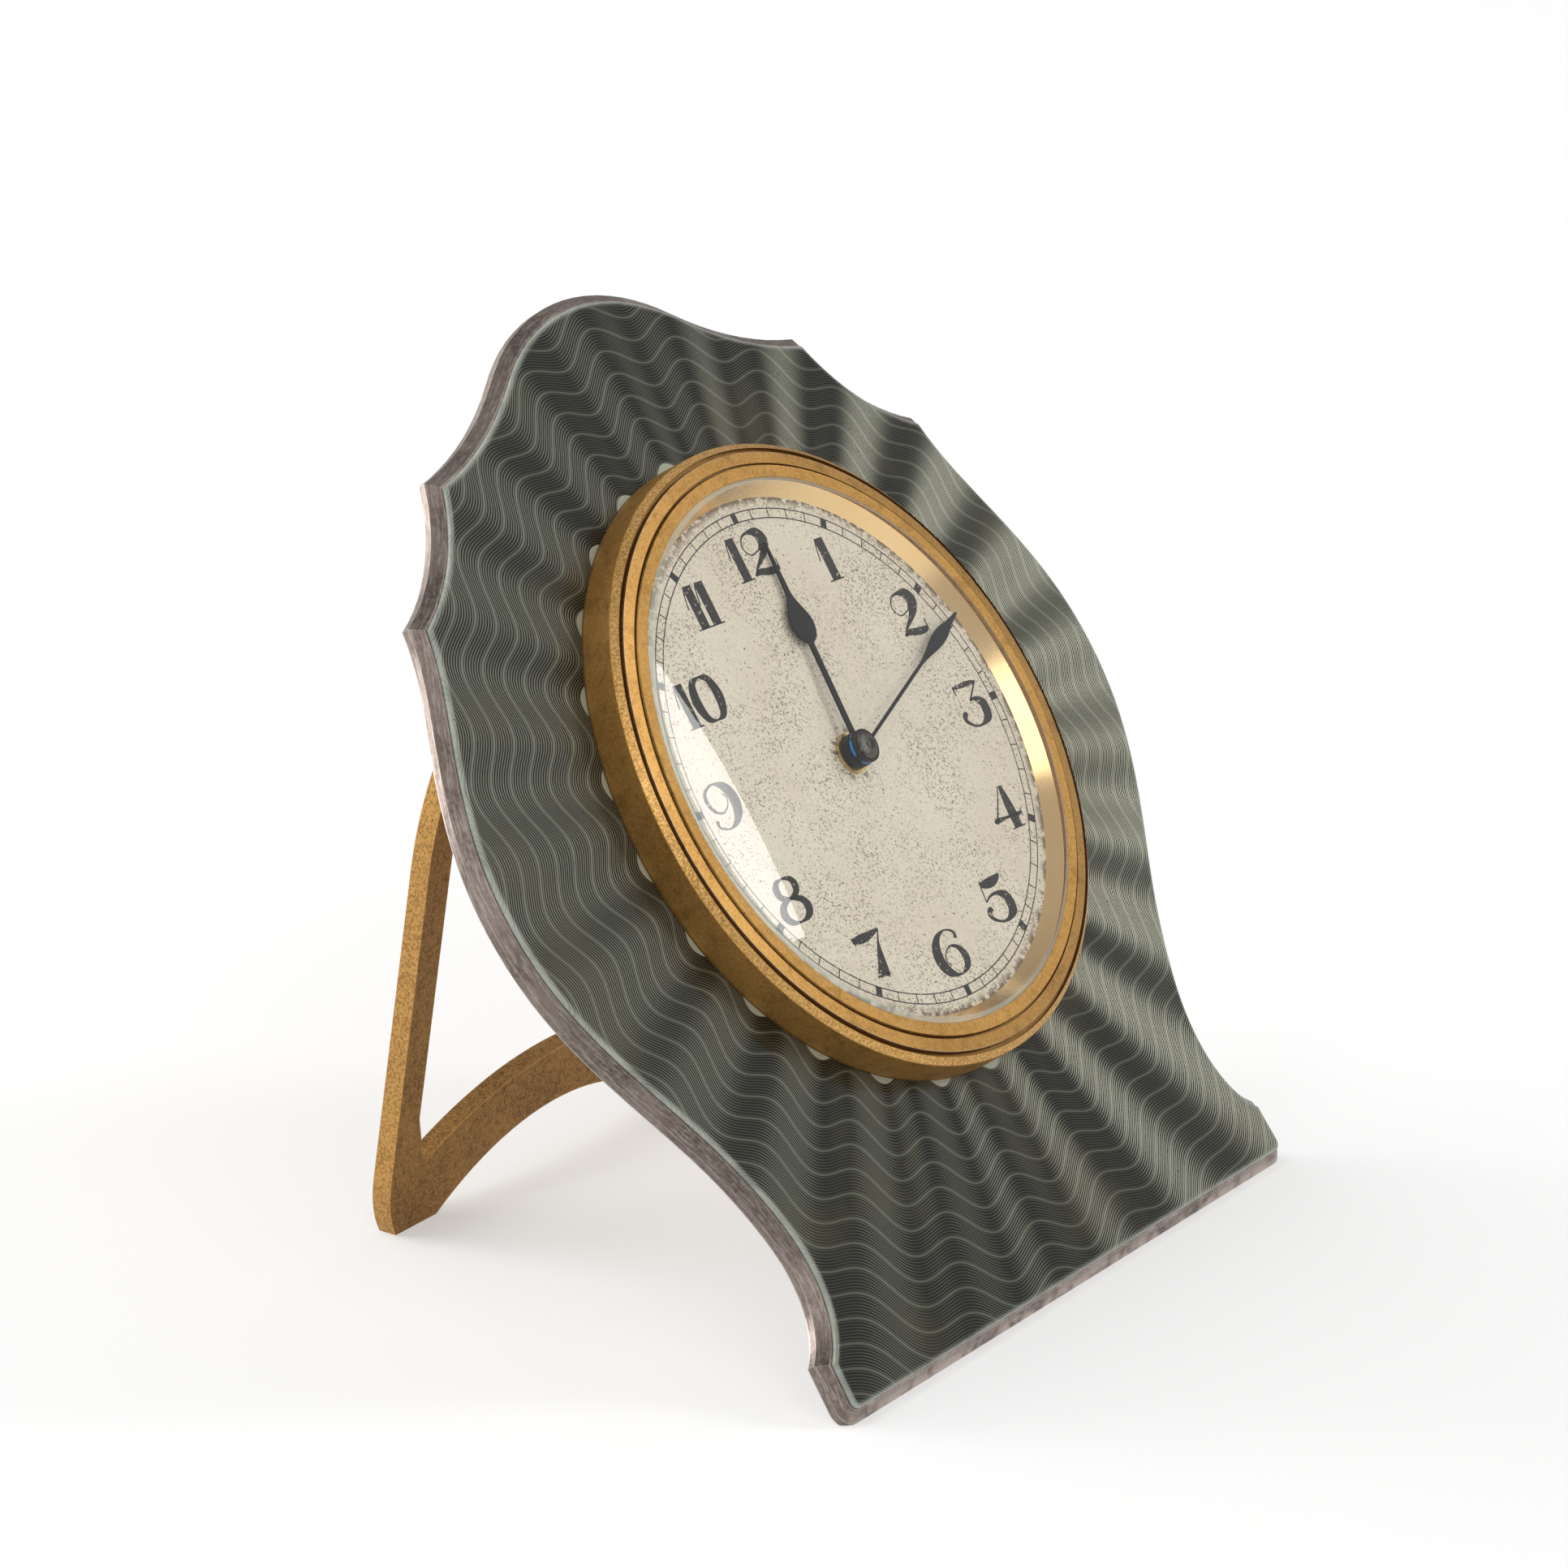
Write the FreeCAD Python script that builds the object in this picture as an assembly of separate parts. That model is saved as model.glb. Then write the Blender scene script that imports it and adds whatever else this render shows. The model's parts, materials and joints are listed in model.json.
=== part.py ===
import FreeCAD, Part
import math
import os

os.makedirs("parts", exist_ok=True)
V = FreeCAD.Vector

# Standing pose: the plate leans back and the strut holds it
lean_deg = 33.6
strut_open_deg = 42.1
stand_shift_y = -27.38
base_cut_y = -47.0
base_cut_z = -0.6

# Silver plate and enamel; the drum sits a little right of the plate's middle
drum_right = 1.7
plate_thick = 1.5
rim_drop = 0.8
rim_slope = 0.9
rim_flat = 0.15
enamel_thick = 0.4
enamel_round = 0.28
enamel_lap = 0.6
dome_half = 13.0
dome_side_y = 39.5
dome_top_y = 43.8
brow_mid = (20.0, 35.7)
notch_one = (26.5, 33.9)
scallop_mid = (29.9, 28.5)
notch_two = (36.6, 23.8)
side_points = (
    (37.5, 20.4), (39.2, 16.6), (41.8, 11.2), (43.8, 5.2), (44.3, -1.0), (43.3, -7.0),
    (40.8, -13.0), (37.3, -19.0), (34.1, -24.6), (32.0, -29.8), (31.1, -34.6), (31.7, -38.0),
)
foot_notch = (34.3, -41.4)
foot_corner = (34.5, -47.0)
foot_round = 1.8
inset_samples = 4
inset_spacing = 5.0

# Drum case behind the plate: each radius steps out from the bore that takes the movement
fit_gap = 0.05
case_in_r = 19.4
case_wall = 0.6
case_out_r = case_in_r + case_wall
case_back = -9.6
plate_hole_gap = 0.15
plate_hole_r = case_out_r + plate_hole_gap
seat_reach = 2.2
seat_in_r = case_out_r + seat_reach
flange_wide = 3.7
flange_r = seat_in_r + flange_wide
flange_top = 0.6
cover_back = -10.2
cover_rim_r = case_in_r - fit_gap
cover_rim_wall = 0.45
cover_rim_in_r = cover_rim_r - cover_rim_wall
cover_rim_top = -8.7
cover_edge = 0.35
cover_dish_inset = 3.85
cover_dish_r = cover_rim_r - cover_dish_inset
cover_dish_deep = 0.25
key_hole_r = 1.3
knob_hole_r = 0.9
nut_in_r = case_out_r + fit_gap
nut_wide = 2.45
nut_out_r = nut_in_r + nut_wide
nut_thick = 1.0
nut_notch = 1.6
nut_notch_count = 6

# Bezel, glass and dial: out from the flange to the wall, then in again to the glass and the dial
bezel_skirt_r = flange_r + fit_gap
bezel_skirt_wall = 1.55
bezel_r = bezel_skirt_r + bezel_skirt_wall
bezel_draft = 0.1
bezel_top_r = bezel_r - bezel_draft
bezel_wall_top = 3.5
bezel_bevel_wide = 0.6
bezel_bevel_r = bezel_top_r - bezel_bevel_wide
bezel_bevel_top = 4.0
enamel_hole_r = bezel_r - enamel_lap
groove_floor = 3.6
groove_wide = 0.4
ring_one_out_r = bezel_bevel_r - groove_wide
groove_lean = 0.05
groove_in_r = ring_one_out_r + groove_lean
ring_one_top = 4.08
ring_one_wide = 1.05
ring_one_in_r = ring_one_out_r - ring_one_wide
ring_one_in_top = 4.22
ring_gap_out = 0.15
ring_gap_in = 0.1
ring_gap_r = ring_one_in_r - ring_gap_out
ring_gap_floor = 3.95
ring_two_out_r = ring_gap_r - ring_gap_in
ring_two_top = 4.38
ring_two_wide = 1.05
bezel_lip_r = ring_two_out_r - ring_two_wide
bezel_lip_low = 4.0
bezel_step_wide = 0.95
bezel_bore_r = bezel_skirt_r - bezel_step_wide
bezel_step_z = 2.6
glass_r = bezel_lip_r - fit_gap
glass_low = 4.0
glass_seat_wide = 1.1
glass_seat_r = glass_r - glass_seat_wide
glass_edge_top = 4.4
glass_bevel_wide = 0.7
glass_bevel_r = glass_r - glass_bevel_wide
glass_bevel_top = 4.9
glass_top = 6.6
glass_under = 5.45
reflector_in_r = glass_seat_r - fit_gap
reflector_cone_r = glass_r - fit_gap
reflector_out_r = bezel_bore_r - fit_gap
reflector_foot = 1.55
reflector_step_r = reflector_out_r - reflector_foot
dial_low = 2.55
dial_top = 2.95
dial_gap = 0.1
dial_r = reflector_step_r - dial_gap
dial_hole_r = 1.15

# Movement plates and pillars
movement_gap = 0.5
movement_r = case_in_r - movement_gap
main_low = -0.5
main_top = 1.0
main_rim_gap = 0.2
main_rim_r = seat_in_r - main_rim_gap
back_low = -7.1
back_top = -6.0
pillar_r = 1.0
pillar_inset = 1.7
pillar_ring_r = movement_r - pillar_inset
pillar_angles = (80.0, 200.0, 320.0)
screw_head_r = 1.2
screw_head_thick = 0.55
screw_shank_r = 0.5
screw_slot = 0.3
screw_slot_deep = 0.25
screw_length = 2.6
dog_inset = 0.9
dog_ring_r = main_rim_r - dog_inset
dog_head_r = 0.8
dog_length = 0.7
dog_angles = (35.0, 155.0, 275.0)

# Train: teeth counts, modules and levels
arbor_r = 0.35
pivot_r = 0.22
pivot_length = 0.8
end_shake = 0.05
gear_backlash_share = 0.1
tip_share = 0.3
root_share = 0.62
addendum_share = 0.9
dedendum_share = 1.15
wheel_thick = 0.3
barrel_teeth = 80
barrel_module = 0.2
great_pinion_teeth = 10
great_teeth = 60
great_module = 0.17
centre_pinion_teeth = 10
centre_teeth = 64
centre_module = 0.15
third_pinion_teeth = 8
third_teeth = 60
third_module = 0.13
fourth_pinion_teeth = 8
fourth_teeth = 60
fourth_module = 0.12
escape_pinion_teeth = 6
escape_teeth = 15
cannon_teeth = 12
minute_wheel_teeth = 36
cannon_module = 0.25
minute_pinion_teeth = 10
hour_teeth = 40
hour_module = 0.24
great_angle = 200.0
barrel_angle = 264.4
third_angle = 60.0
fourth_turn = 100.0
escape_turn = 200.0
balance_at = (-8.5, 6.5)
lever_at = (-4.9, 7.2)
level_centre = -1.1
level_third = -2.2
level_fourth = -3.4
level_escape = -4.8
level_great = -5.5
pinion_extra = 0.2
pinion_high = 0.7
great_pinion_low = -4.85
great_pinion_high = 1.2
centre_pinion_low = -5.7
centre_pinion_high = 0.75
spoke_count = 5
rim_share = 0.78
hub_share = 0.26
spoke_wide = 0.5

# Barrel and winding work
barrel_top = -1.4
barrel_floor = 0.4
barrel_teeth_low = -4.5
barrel_teeth_high = 0.6
barrel_wall_r = 7.6
barrel_wall = 0.5
barrel_in_r = barrel_wall_r - barrel_wall
barrel_cover_thick = 0.2
barrel_hole_r = 0.75
barrel_arbor_r = 0.7
barrel_hub_r = 1.6
spring_hub_gap = 0.06
spring_start_r = barrel_hub_r + spring_hub_gap
spring_slack = 0.1
spring_end_r = barrel_in_r - spring_slack
spring_turns = 6
spring_steps = 20
spring_thick = 0.22
spring_low = -4.3
spring_high = 2.2
ratchet_low = -7.75
ratchet_thick = 0.4
ratchet_r = 3.4
ratchet_root_r = 3.0
ratchet_teeth = 20
click_at = (4.6, -12.4)
click_r = 0.8
click_tip_gap = 0.12
click_wide = 0.35
click_tail = 2.6
click_post_r = 0.3
click_post_gap = 0.45
key_end = -11.0
key_boss_r = 1.75
key_boss_end = -13.6
key_wing_half = 5.4
key_wing_thick = 0.9
key_wing_end = -17.6
key_wing_round = 2.2
key_wing_eye_r = 1.0
key_wing_eye_x = 3.1
key_waist = 0.9

# Setting knob and centre arbor
centre_arbor_r = 0.42
knob_top = -10.7
knob_end = -12.9
knob_r = 2.7
knob_waist_r = 1.5
knob_ribs = 24
knob_rib_deep = 0.16
knob_edge = 0.3

# Escapement
escape_r = 2.5
escape_root_r = 1.85
pallet_gap = 0.3
pallet_wide = 0.45
pallet_spread = 32.0
fork_gap = 1.15
fork_wide = 0.35
fork_half = 0.55
cock_top = -3.9
cock_thick = 0.35
cock_half = 0.8
balance_r = 4.6
balance_rim = 0.6
balance_in_r = balance_r - balance_rim
balance_low = -2.2
balance_thick = 0.5
balance_arm = 0.5
roller_r = 0.9
roller_low = -4.45
roller_thick = 0.25
impulse_r = 0.13
impulse_at = 0.68
impulse_low = -4.8
collet_r = 0.6
collet_low = -3.2
collet_thick = 0.4
hair_start_r = 0.68
hair_end_r = 3.4
hair_turns = 6
hair_thick = 0.09
hair_low = -3.1
hair_high = 0.2
stud_r = 0.25
regulator_low = -7.55
regulator_thick = 0.3
regulator_ring_r = 1.7
regulator_bore_r = 0.75
regulator_post_r = 0.7
regulator_post_end = -7.9
regulator_length = 7.0
regulator_wide = 0.35
regulator_tip_wide = 0.9

# Motion work and hands
motion_low = 1.15
motion_thick = 0.35
minute_stud_r = 0.4
minute_stud_top = 2.25
minute_pinion_top = 2.2
hour_wheel_low = 1.8
hour_wheel_thick = 0.3
hour_pipe_r = 0.95
hour_pipe_in_r = 0.57
hour_pipe_top = 3.95
cannon_pipe_r = 0.5
cannon_top = 4.72
collet_ring_r = 1.75
collet_ring_low = 3.0
collet_ring_top = 3.3
hour_hub_r = 1.5
hour_hub_low = 3.3
hour_hub_top = 4.1
hand_thick = 0.16
hour_blade_low = 3.94
hour_angle_deg = 7.8
hour_droop_deg = 2.4
hour_stem_half = 0.3
hour_bulb_y = 11.5
hour_bulb_half = 1.45
hour_bulb_low = 9.6
hour_neck_y = 14.4
bulb_shoulder_share = 0.82
bulb_low_share = 0.4
bulb_waist_share = 0.55
bulb_high_share = 0.5
hour_neck_half = 0.28
hour_tip_y = 18.8
hour_tip_half = 0.12
minute_hub_r = 1.45
minute_hub_low = 4.16
minute_hub_top = 4.8
minute_blade_low = 4.62
minute_angle_deg = 72.2
minute_droop_deg = 2.6
minute_stem_half = 0.14
minute_leaf_low = 13.6
minute_leaf_y = 17.6
minute_leaf_half = 0.62
leaf_swell_share = 0.55
minute_tip_y = 22.2
minute_tip_half = 0.1
cap_r = 1.2
cap_top = 5.08
cap_nipple_r = 0.3
cap_nipple_top = 5.16

# Strut and its hinge
leaf_clear = 2.7
leaf_low = nut_out_r + leaf_clear
leaf_rise = 3.8
hinge_y = leaf_low + leaf_rise
leaf_reach = 5.6
leaf_high = hinge_y + leaf_reach
leaf_screw_low_edge = 1.1
leaf_screw_low_y = leaf_low + leaf_screw_low_edge
leaf_screw_high_edge = 1.6
leaf_screw_high_y = leaf_high - leaf_screw_high_edge
hinge_z = -3.9
strut_thick = 1.8
strut_clear = 0.9
strut_wide = 3.1
strut_splay = 0.3
strut_arc_in_r = case_out_r + strut_clear
strut_arc_r = strut_arc_in_r + strut_wide
strut_inner_x = strut_arc_in_r + strut_splay
strut_side_x = strut_inner_x + strut_wide
strut_foot_y = -33.2
strut_foot_in = 17.3
strut_foot_out = 21.0
strut_side_low = -27.6
strut_foot_bend = (23.7, -31.2)
bar_top_y = -22.8
bar_side = (19.8, -27.4)
bar_low_y = -27.8
neck_half = 4.5
neck_flare = 7.2
neck_root = 1.6
neck_low = strut_arc_r - neck_root
knuckle_r = 1.5
knuckle_half = 4.5
knuckle_out = 8.0
knuckle_gap = 0.1
pin_r = 0.6
pin_bore_r = 0.65
pin_half = 8.6
pin_head_r = 0.95
leaf_half = 9.5
leaf_thick = 0.7
leaf_round = 1.6
ear_reach = 1.5
heel_gap = 0.04
leaf_screw_x = 7.2
leaf_screw_r = 0.9
leaf_screw_head = 0.35
leaf_screw_shank_r = 0.45
leaf_screw_length = 1.5


def disc(radius, low, high, at=(0, 0)):
    return Part.makeCylinder(radius, high - low, V(at[0], at[1], low))


def ring(out_r, in_r, low, high, at=(0, 0)):
    return disc(out_r, low, high, at).cut(disc(in_r, low, high, at))


def turned(points):
    closed = list(points) + [points[0]]
    wire = Part.makePolygon([V(r, 0, z) for r, z in closed])
    return Part.Face(wire).revolve(V(0, 0, 0), V(0, 0, 1), 360)


def prism(points, low, high):
    closed = list(points) + [points[0]]
    wire = Part.makePolygon([V(x, y, low) for x, y in closed])
    return Part.Face(wire).extrude(V(0, 0, high - low))


def joined(first, *others):
    result = first
    for piece in others:
        result = result.fuse(piece)
    return result.removeSplitter()


def polar(radius, degrees, at=(0, 0)):
    angle = math.radians(degrees)
    return (at[0] + radius * math.cos(angle), at[1] + radius * math.sin(angle))


def spin(shape, degrees, at=(0, 0)):
    turned_shape = shape.copy()
    turned_shape.rotate(V(at[0], at[1], 0), V(0, 0, 1), degrees)
    return turned_shape


def slotted(shape, at, low, half):
    corner = V(at[0] - half, at[1] - screw_slot / 2, low)
    slot = Part.makeBox(2 * half, screw_slot, screw_slot_deep, corner)
    return shape.cut(slot)


def stand(shape):
    world = shape.copy()
    world.rotate(V(0, 0, 0), V(1, 0, 0), 90 - lean_deg)
    lean = math.radians(lean_deg)
    drop = base_cut_y * math.cos(lean) + base_cut_z * math.sin(lean)
    back = base_cut_y * math.sin(lean) - base_cut_z * math.cos(lean)
    world.translate(V(drum_right, stand_shift_y - back, -drop))
    return world


def save(name, shape):
    stand(shape).exportStep("parts/" + name + ".step")


# Outline of the plate, right half mirrored to the left
def mirrored(point):
    return (-point[0], point[1])


def at_plane(point):
    return V(point[0], point[1], 0)


def arc(start, middle, end):
    return Part.Arc(at_plane(start), at_plane(middle), at_plane(end)).toShape()


def curve(points):
    spline = Part.BSplineCurve()
    spline.interpolate([at_plane(p) for p in points])
    return spline.toShape()


dome_right = (dome_half, dome_side_y)
side_right = [notch_two] + list(side_points) + [foot_notch]
side_left = [mirrored(p) for p in reversed(side_right)]
corner_side = (foot_corner[0], foot_corner[1] + foot_round)
corner_base = (foot_corner[0] - foot_round, foot_corner[1])
corner_slack = foot_round * (1 - math.sqrt(0.5))
corner_mid = (foot_corner[0] - corner_slack, foot_corner[1] + corner_slack)
outline_edges = [
    arc(mirrored(dome_right), (0, dome_top_y), dome_right),
    arc(dome_right, brow_mid, notch_one),
    arc(notch_one, scallop_mid, notch_two),
    curve(side_right),
    Part.makeLine(at_plane(foot_notch), at_plane(corner_side)),
    arc(corner_side, corner_mid, corner_base),
    Part.makeLine(at_plane(corner_base), at_plane(mirrored(corner_base))),
    arc(mirrored(corner_base), mirrored(corner_mid), mirrored(corner_side)),
    Part.makeLine(at_plane(mirrored(corner_side)), at_plane(mirrored(foot_notch))),
    curve(side_left),
    arc(mirrored(notch_two), mirrored(scallop_mid), mirrored(notch_one)),
    arc(mirrored(notch_one), mirrored(brow_mid), mirrored(dome_right)),
]
for edge in outline_edges:
    edge.translate(V(-drum_right, 0, 0))
outline = Part.Wire(Part.sortEdges(outline_edges)[0])
outline_face = Part.Face(outline)

# Silver plate: bevelled rim, drum hole and a foot cut level with the table
plate = outline_face.extrude(V(0, 0, -plate_thick))


def front_edges(shape, level):
    chosen = []
    for edge in shape.Edges:
        box = edge.BoundBox
        if abs(box.ZMin - level) < fit_gap and abs(box.ZMax - level) < fit_gap:
            chosen.append(edge)
    return chosen


plate = plate.makeChamfer(rim_drop, rim_slope, front_edges(plate, 0))
plate = plate.cut(disc(plate_hole_r, -plate_thick, plate_thick))
lean = math.radians(lean_deg)
cutter_size = 2 * foot_corner[0]
cutter_corner = V(-cutter_size, -cutter_size, -cutter_size)
cutter = Part.makeBox(2 * cutter_size, cutter_size, 2 * cutter_size, cutter_corner)
cutter.rotate(V(0, 0, 0), V(1, 0, 0), lean_deg)
cutter.translate(V(0, base_cut_y, base_cut_z))
plate = plate.cut(cutter)
leaf_holes = []
for side in (-leaf_screw_x, leaf_screw_x):
    for level in (leaf_screw_low_y, leaf_screw_high_y):
        leaf_holes.append((side, level))
leaf_top = -plate_thick
leaf_back = leaf_top - leaf_thick
screw_deep = leaf_back + leaf_screw_length
for spot in leaf_holes:
    plate = plate.cut(disc(leaf_screw_shank_r + fit_gap, leaf_top, screw_deep + fit_gap, spot))
save("silver_plate", plate)


# Points of one outline edge, moved inwards
def inward(edge, place, distance):
    first = edge.FirstParameter
    spot = first + (edge.LastParameter - first) * place
    along = edge.tangentAt(spot)
    return edge.valueAt(spot) + V(along.y, -along.x, 0) * distance


def inset_corner(before, after, distance):
    one = before.tangentAt(before.LastParameter)
    two = after.tangentAt(after.FirstParameter)
    both = V(one.y, -one.x, 0) + V(two.y, -two.x, 0)
    return after.valueAt(after.FirstParameter) + both * (distance / (1 + one.dot(two)))


def inset(edges, distance):
    result = []
    count = len(edges)
    for index, edge in enumerate(edges):
        start = inset_corner(edges[index - 1], edge, distance)
        end = inset_corner(edge, edges[(index + 1) % count], distance)
        if edge.Curve.TypeId == "Part::GeomLine":
            result.append(Part.makeLine(start, end))
            continue
        samples = max(inset_samples, round(edge.Length / inset_spacing))
        middle = [inward(edge, step / samples, distance) for step in range(1, samples)]
        spline = Part.BSplineCurve()
        spline.interpolate([start] + middle + [end])
        result.append(spline.toShape())
    return Part.Wire(result)


# Enamel over the engraving, its edge rounded like a pillow
enamel_face = Part.Face(inset(outline_edges, rim_slope + rim_flat))
enamel = enamel_face.extrude(V(0, 0, enamel_thick))
enamel = enamel.makeFillet(enamel_round, front_edges(enamel, enamel_thick))
enamel = enamel.cut(disc(enamel_hole_r, -enamel_thick, 2 * enamel_thick))
save("enamel", enamel)

# Gilt bezel turned from one ring
bezel = turned([
    (bezel_r, enamel_thick), (bezel_top_r, bezel_wall_top), (bezel_bevel_r, bezel_bevel_top),
    (bezel_bevel_r, groove_floor), (groove_in_r, groove_floor), (ring_one_out_r, ring_one_top),
    (ring_one_in_r, ring_one_in_top), (ring_one_in_r, ring_gap_floor), (ring_gap_r, ring_gap_floor),
    (ring_two_out_r, ring_two_top), (bezel_lip_r, ring_two_top), (bezel_lip_r, bezel_lip_low),
    (bezel_bore_r, bezel_lip_low), (bezel_bore_r, bezel_step_z), (bezel_skirt_r, bezel_step_z),
    (bezel_skirt_r, enamel_thick),
])
save("bezel", bezel)


# Domed glass with a ground bevel round its edge, cut by two spheres
def ball(rim_r, rim_z, top_z):
    rise = top_z - rim_z
    radius = (rim_r ** 2 + rise ** 2) / (2 * rise)
    return Part.makeSphere(radius, V(0, 0, top_z - radius))


glass_blank = turned([
    (0, glass_low), (glass_r, glass_low), (glass_r, glass_edge_top), (glass_bevel_r, glass_bevel_top),
    (glass_bevel_r, glass_top + fit_gap), (0, glass_top + fit_gap),
])
crystal = glass_blank.common(ball(glass_bevel_r, glass_bevel_top, glass_top))
crystal = crystal.cut(ball(glass_seat_r, glass_low, glass_under))
save("crystal", crystal)

# Polished reflector ring between dial and glass
reflector = turned([
    (reflector_in_r, dial_top), (reflector_cone_r, glass_low), (reflector_out_r, glass_low),
    (reflector_out_r, dial_low), (reflector_step_r, dial_low), (reflector_step_r, dial_top),
])
save("reflector_ring", reflector)

# Dial disc
dial = ring(dial_r, dial_hole_r, dial_low, dial_top)
save("dial", dial)

# Drum case with a front flange that lies on the plate
drum = turned([
    (case_in_r, case_back), (case_out_r, case_back), (case_out_r, 0), (flange_r, 0),
    (flange_r, dial_low), (seat_in_r, dial_low), (seat_in_r, flange_top), (case_in_r, flange_top),
])
for angle in dog_angles:
    spot = polar(dog_ring_r, angle)
    drum = drum.cut(disc(screw_shank_r + fit_gap, -fit_gap, flange_top + fit_gap, spot))
save("drum_case", drum)

# Ring nut that draws the case against the plate
nut = ring(nut_out_r, nut_in_r, leaf_top - nut_thick, leaf_top)
nut_tool_corner = V(nut_out_r - nut_notch / 2, -nut_notch / 2, leaf_top - nut_thick)
nut_tool = Part.makeBox(nut_notch, nut_notch, nut_thick, nut_tool_corner)
for count in range(nut_notch_count):
    nut = nut.cut(spin(nut_tool, 360 / nut_notch_count * count))
save("ring_nut", nut)

# Places of the train arbors
great_at = polar((great_teeth + centre_pinion_teeth) * great_module / 2, great_angle)
barrel_reach = (barrel_teeth + great_pinion_teeth) * barrel_module / 2
great_reach = math.hypot(great_at[0], great_at[1])
turn = math.radians(barrel_angle - great_angle)
barrel_r = great_reach * math.cos(turn) + math.sqrt(barrel_reach ** 2 - (great_reach * math.sin(turn)) ** 2)
barrel_at = polar(barrel_r, barrel_angle)
third_at = polar((centre_teeth + third_pinion_teeth) * centre_module / 2, third_angle)
fourth_at = polar((third_teeth + fourth_pinion_teeth) * third_module / 2, fourth_turn, third_at)
escape_at = polar((fourth_teeth + escape_pinion_teeth) * fourth_module / 2, escape_turn, fourth_at)
minute_at = ((cannon_teeth + minute_wheel_teeth) * cannon_module / 2, 0)
centre_at = (0, 0)


def heading(start, end):
    return math.degrees(math.atan2(end[1] - start[1], end[0] - start[0]))


def tooth_gap(teeth, start, end):
    return heading(start, end) + 180 / teeth


# A toothed disc with one tooth pointing along phase
def toothed(teeth, module, low, thick, at, phase):
    pitch_r = teeth * module / 2
    tip_r = pitch_r + addendum_share * module
    root_r = pitch_r - dedendum_share * module
    step = 360 / teeth
    points = []
    for index in range(teeth):
        middle = phase + index * step
        points.append(polar(root_r, middle - step * root_share / 2, at))
        points.append(polar(tip_r, middle - step * tip_share / 2, at))
        points.append(polar(tip_r, middle + step * tip_share / 2, at))
        points.append(polar(root_r, middle + step * root_share / 2, at))
    return prism(points, low, low + thick)


# Spoke windows that lighten a wheel
def crossed(wheel, pitch_r, low, thick, at):
    rim_r = pitch_r * rim_share
    hub_r = pitch_r * hub_share
    window = ring(rim_r, hub_r, low, low + thick, at)
    for index in range(spoke_count):
        arm = Part.makeBox(rim_r, spoke_wide, thick, V(at[0], at[1] - spoke_wide / 2, low))
        window = window.cut(spin(arm, 360 / spoke_count * index, at))
    return wheel.cut(window)


def arbor(at, radius=arbor_r, low=back_top, high=main_low):
    body = disc(radius, low + end_shake, high - end_shake, at)
    pins = disc(pivot_r, low - pivot_length, high + pivot_length, at)
    return body.fuse(pins)


def wheel_set(at, wheel, low, pitch_r, pinion):
    return joined(arbor(at), crossed(wheel, pitch_r, low, wheel_thick, at), pinion)


# Movement plates with a running hole for each pivot
main_plate = joined(disc(movement_r, main_low, main_top), disc(main_rim_r, flange_top, main_top))
back_plate = disc(movement_r, back_low, back_top)
pivot_spots = (great_at, third_at, fourth_at, escape_at, balance_at)
for spot in pivot_spots:
    main_plate = main_plate.cut(disc(pivot_r + fit_gap, main_low, main_top, spot))
    back_plate = back_plate.cut(disc(pivot_r + fit_gap, back_low, back_top, spot))
main_plate = main_plate.cut(disc(centre_arbor_r + fit_gap, main_low, main_top))
back_plate = back_plate.cut(disc(centre_arbor_r + fit_gap, back_low, back_top))
main_plate = main_plate.cut(disc(barrel_arbor_r + fit_gap, main_low, main_top, barrel_at))
back_plate = back_plate.cut(disc(barrel_arbor_r + fit_gap, back_low, back_top, barrel_at))
back_plate = back_plate.cut(disc(pivot_r + fit_gap, back_low, back_top, lever_at))
for angle in dog_angles:
    spot = polar(dog_ring_r, angle)
    main_plate = main_plate.cut(disc(screw_shank_r + fit_gap, flange_top, main_top, spot))
pillars = []
screws = []
for angle in pillar_angles:
    spot = polar(pillar_ring_r, angle)
    hole = disc(screw_shank_r + fit_gap, back_low, back_low + screw_length + fit_gap, spot)
    back_plate = back_plate.cut(hole)
    pillars.append(disc(pillar_r, back_top, main_low, spot).cut(hole))
    head = disc(screw_head_r, back_low - screw_head_thick, back_low, spot)
    screw = head.fuse(disc(screw_shank_r, back_low, back_low + screw_length, spot))
    screws.append(slotted(screw, spot, back_low - screw_head_thick, screw_head_r))
post = disc(regulator_post_r, regulator_post_end, back_low, balance_at)
back_plate = back_plate.fuse(post).cut(disc(pivot_r + fit_gap, back_low, back_top, balance_at))
save("main_plate", main_plate)
save("pillars", Part.makeCompound(pillars))
save("pillar_screws", Part.makeCompound(screws))
dogs = []
for angle in dog_angles:
    spot = polar(dog_ring_r, angle)
    dog = disc(dog_head_r, main_top, main_top + screw_head_thick, spot)
    dog = dog.fuse(disc(screw_shank_r, main_top - dog_length, main_top, spot))
    dogs.append(slotted(dog, spot, main_top + screw_head_thick - screw_slot_deep, dog_head_r))
save("case_screws", Part.makeCompound(dogs))

# Barrel, its cover and the mainspring
barrel_phase = heading(barrel_at, great_at)
barrel_gear = toothed(
    barrel_teeth, barrel_module, barrel_teeth_low, barrel_teeth_high, barrel_at, barrel_phase)
barrel = joined(barrel_gear, disc(barrel_wall_r, barrel_teeth_low, barrel_top, barrel_at))
barrel = barrel.cut(disc(barrel_in_r, barrel_teeth_low, barrel_top - barrel_floor, barrel_at))
barrel = barrel.cut(disc(barrel_hole_r, barrel_teeth_low, barrel_top, barrel_at))
save("barrel", barrel)
cover_low = barrel_teeth_low - barrel_cover_thick
save("barrel_cover", ring(barrel_wall_r, barrel_hole_r, cover_low, barrel_teeth_low, barrel_at))


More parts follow.
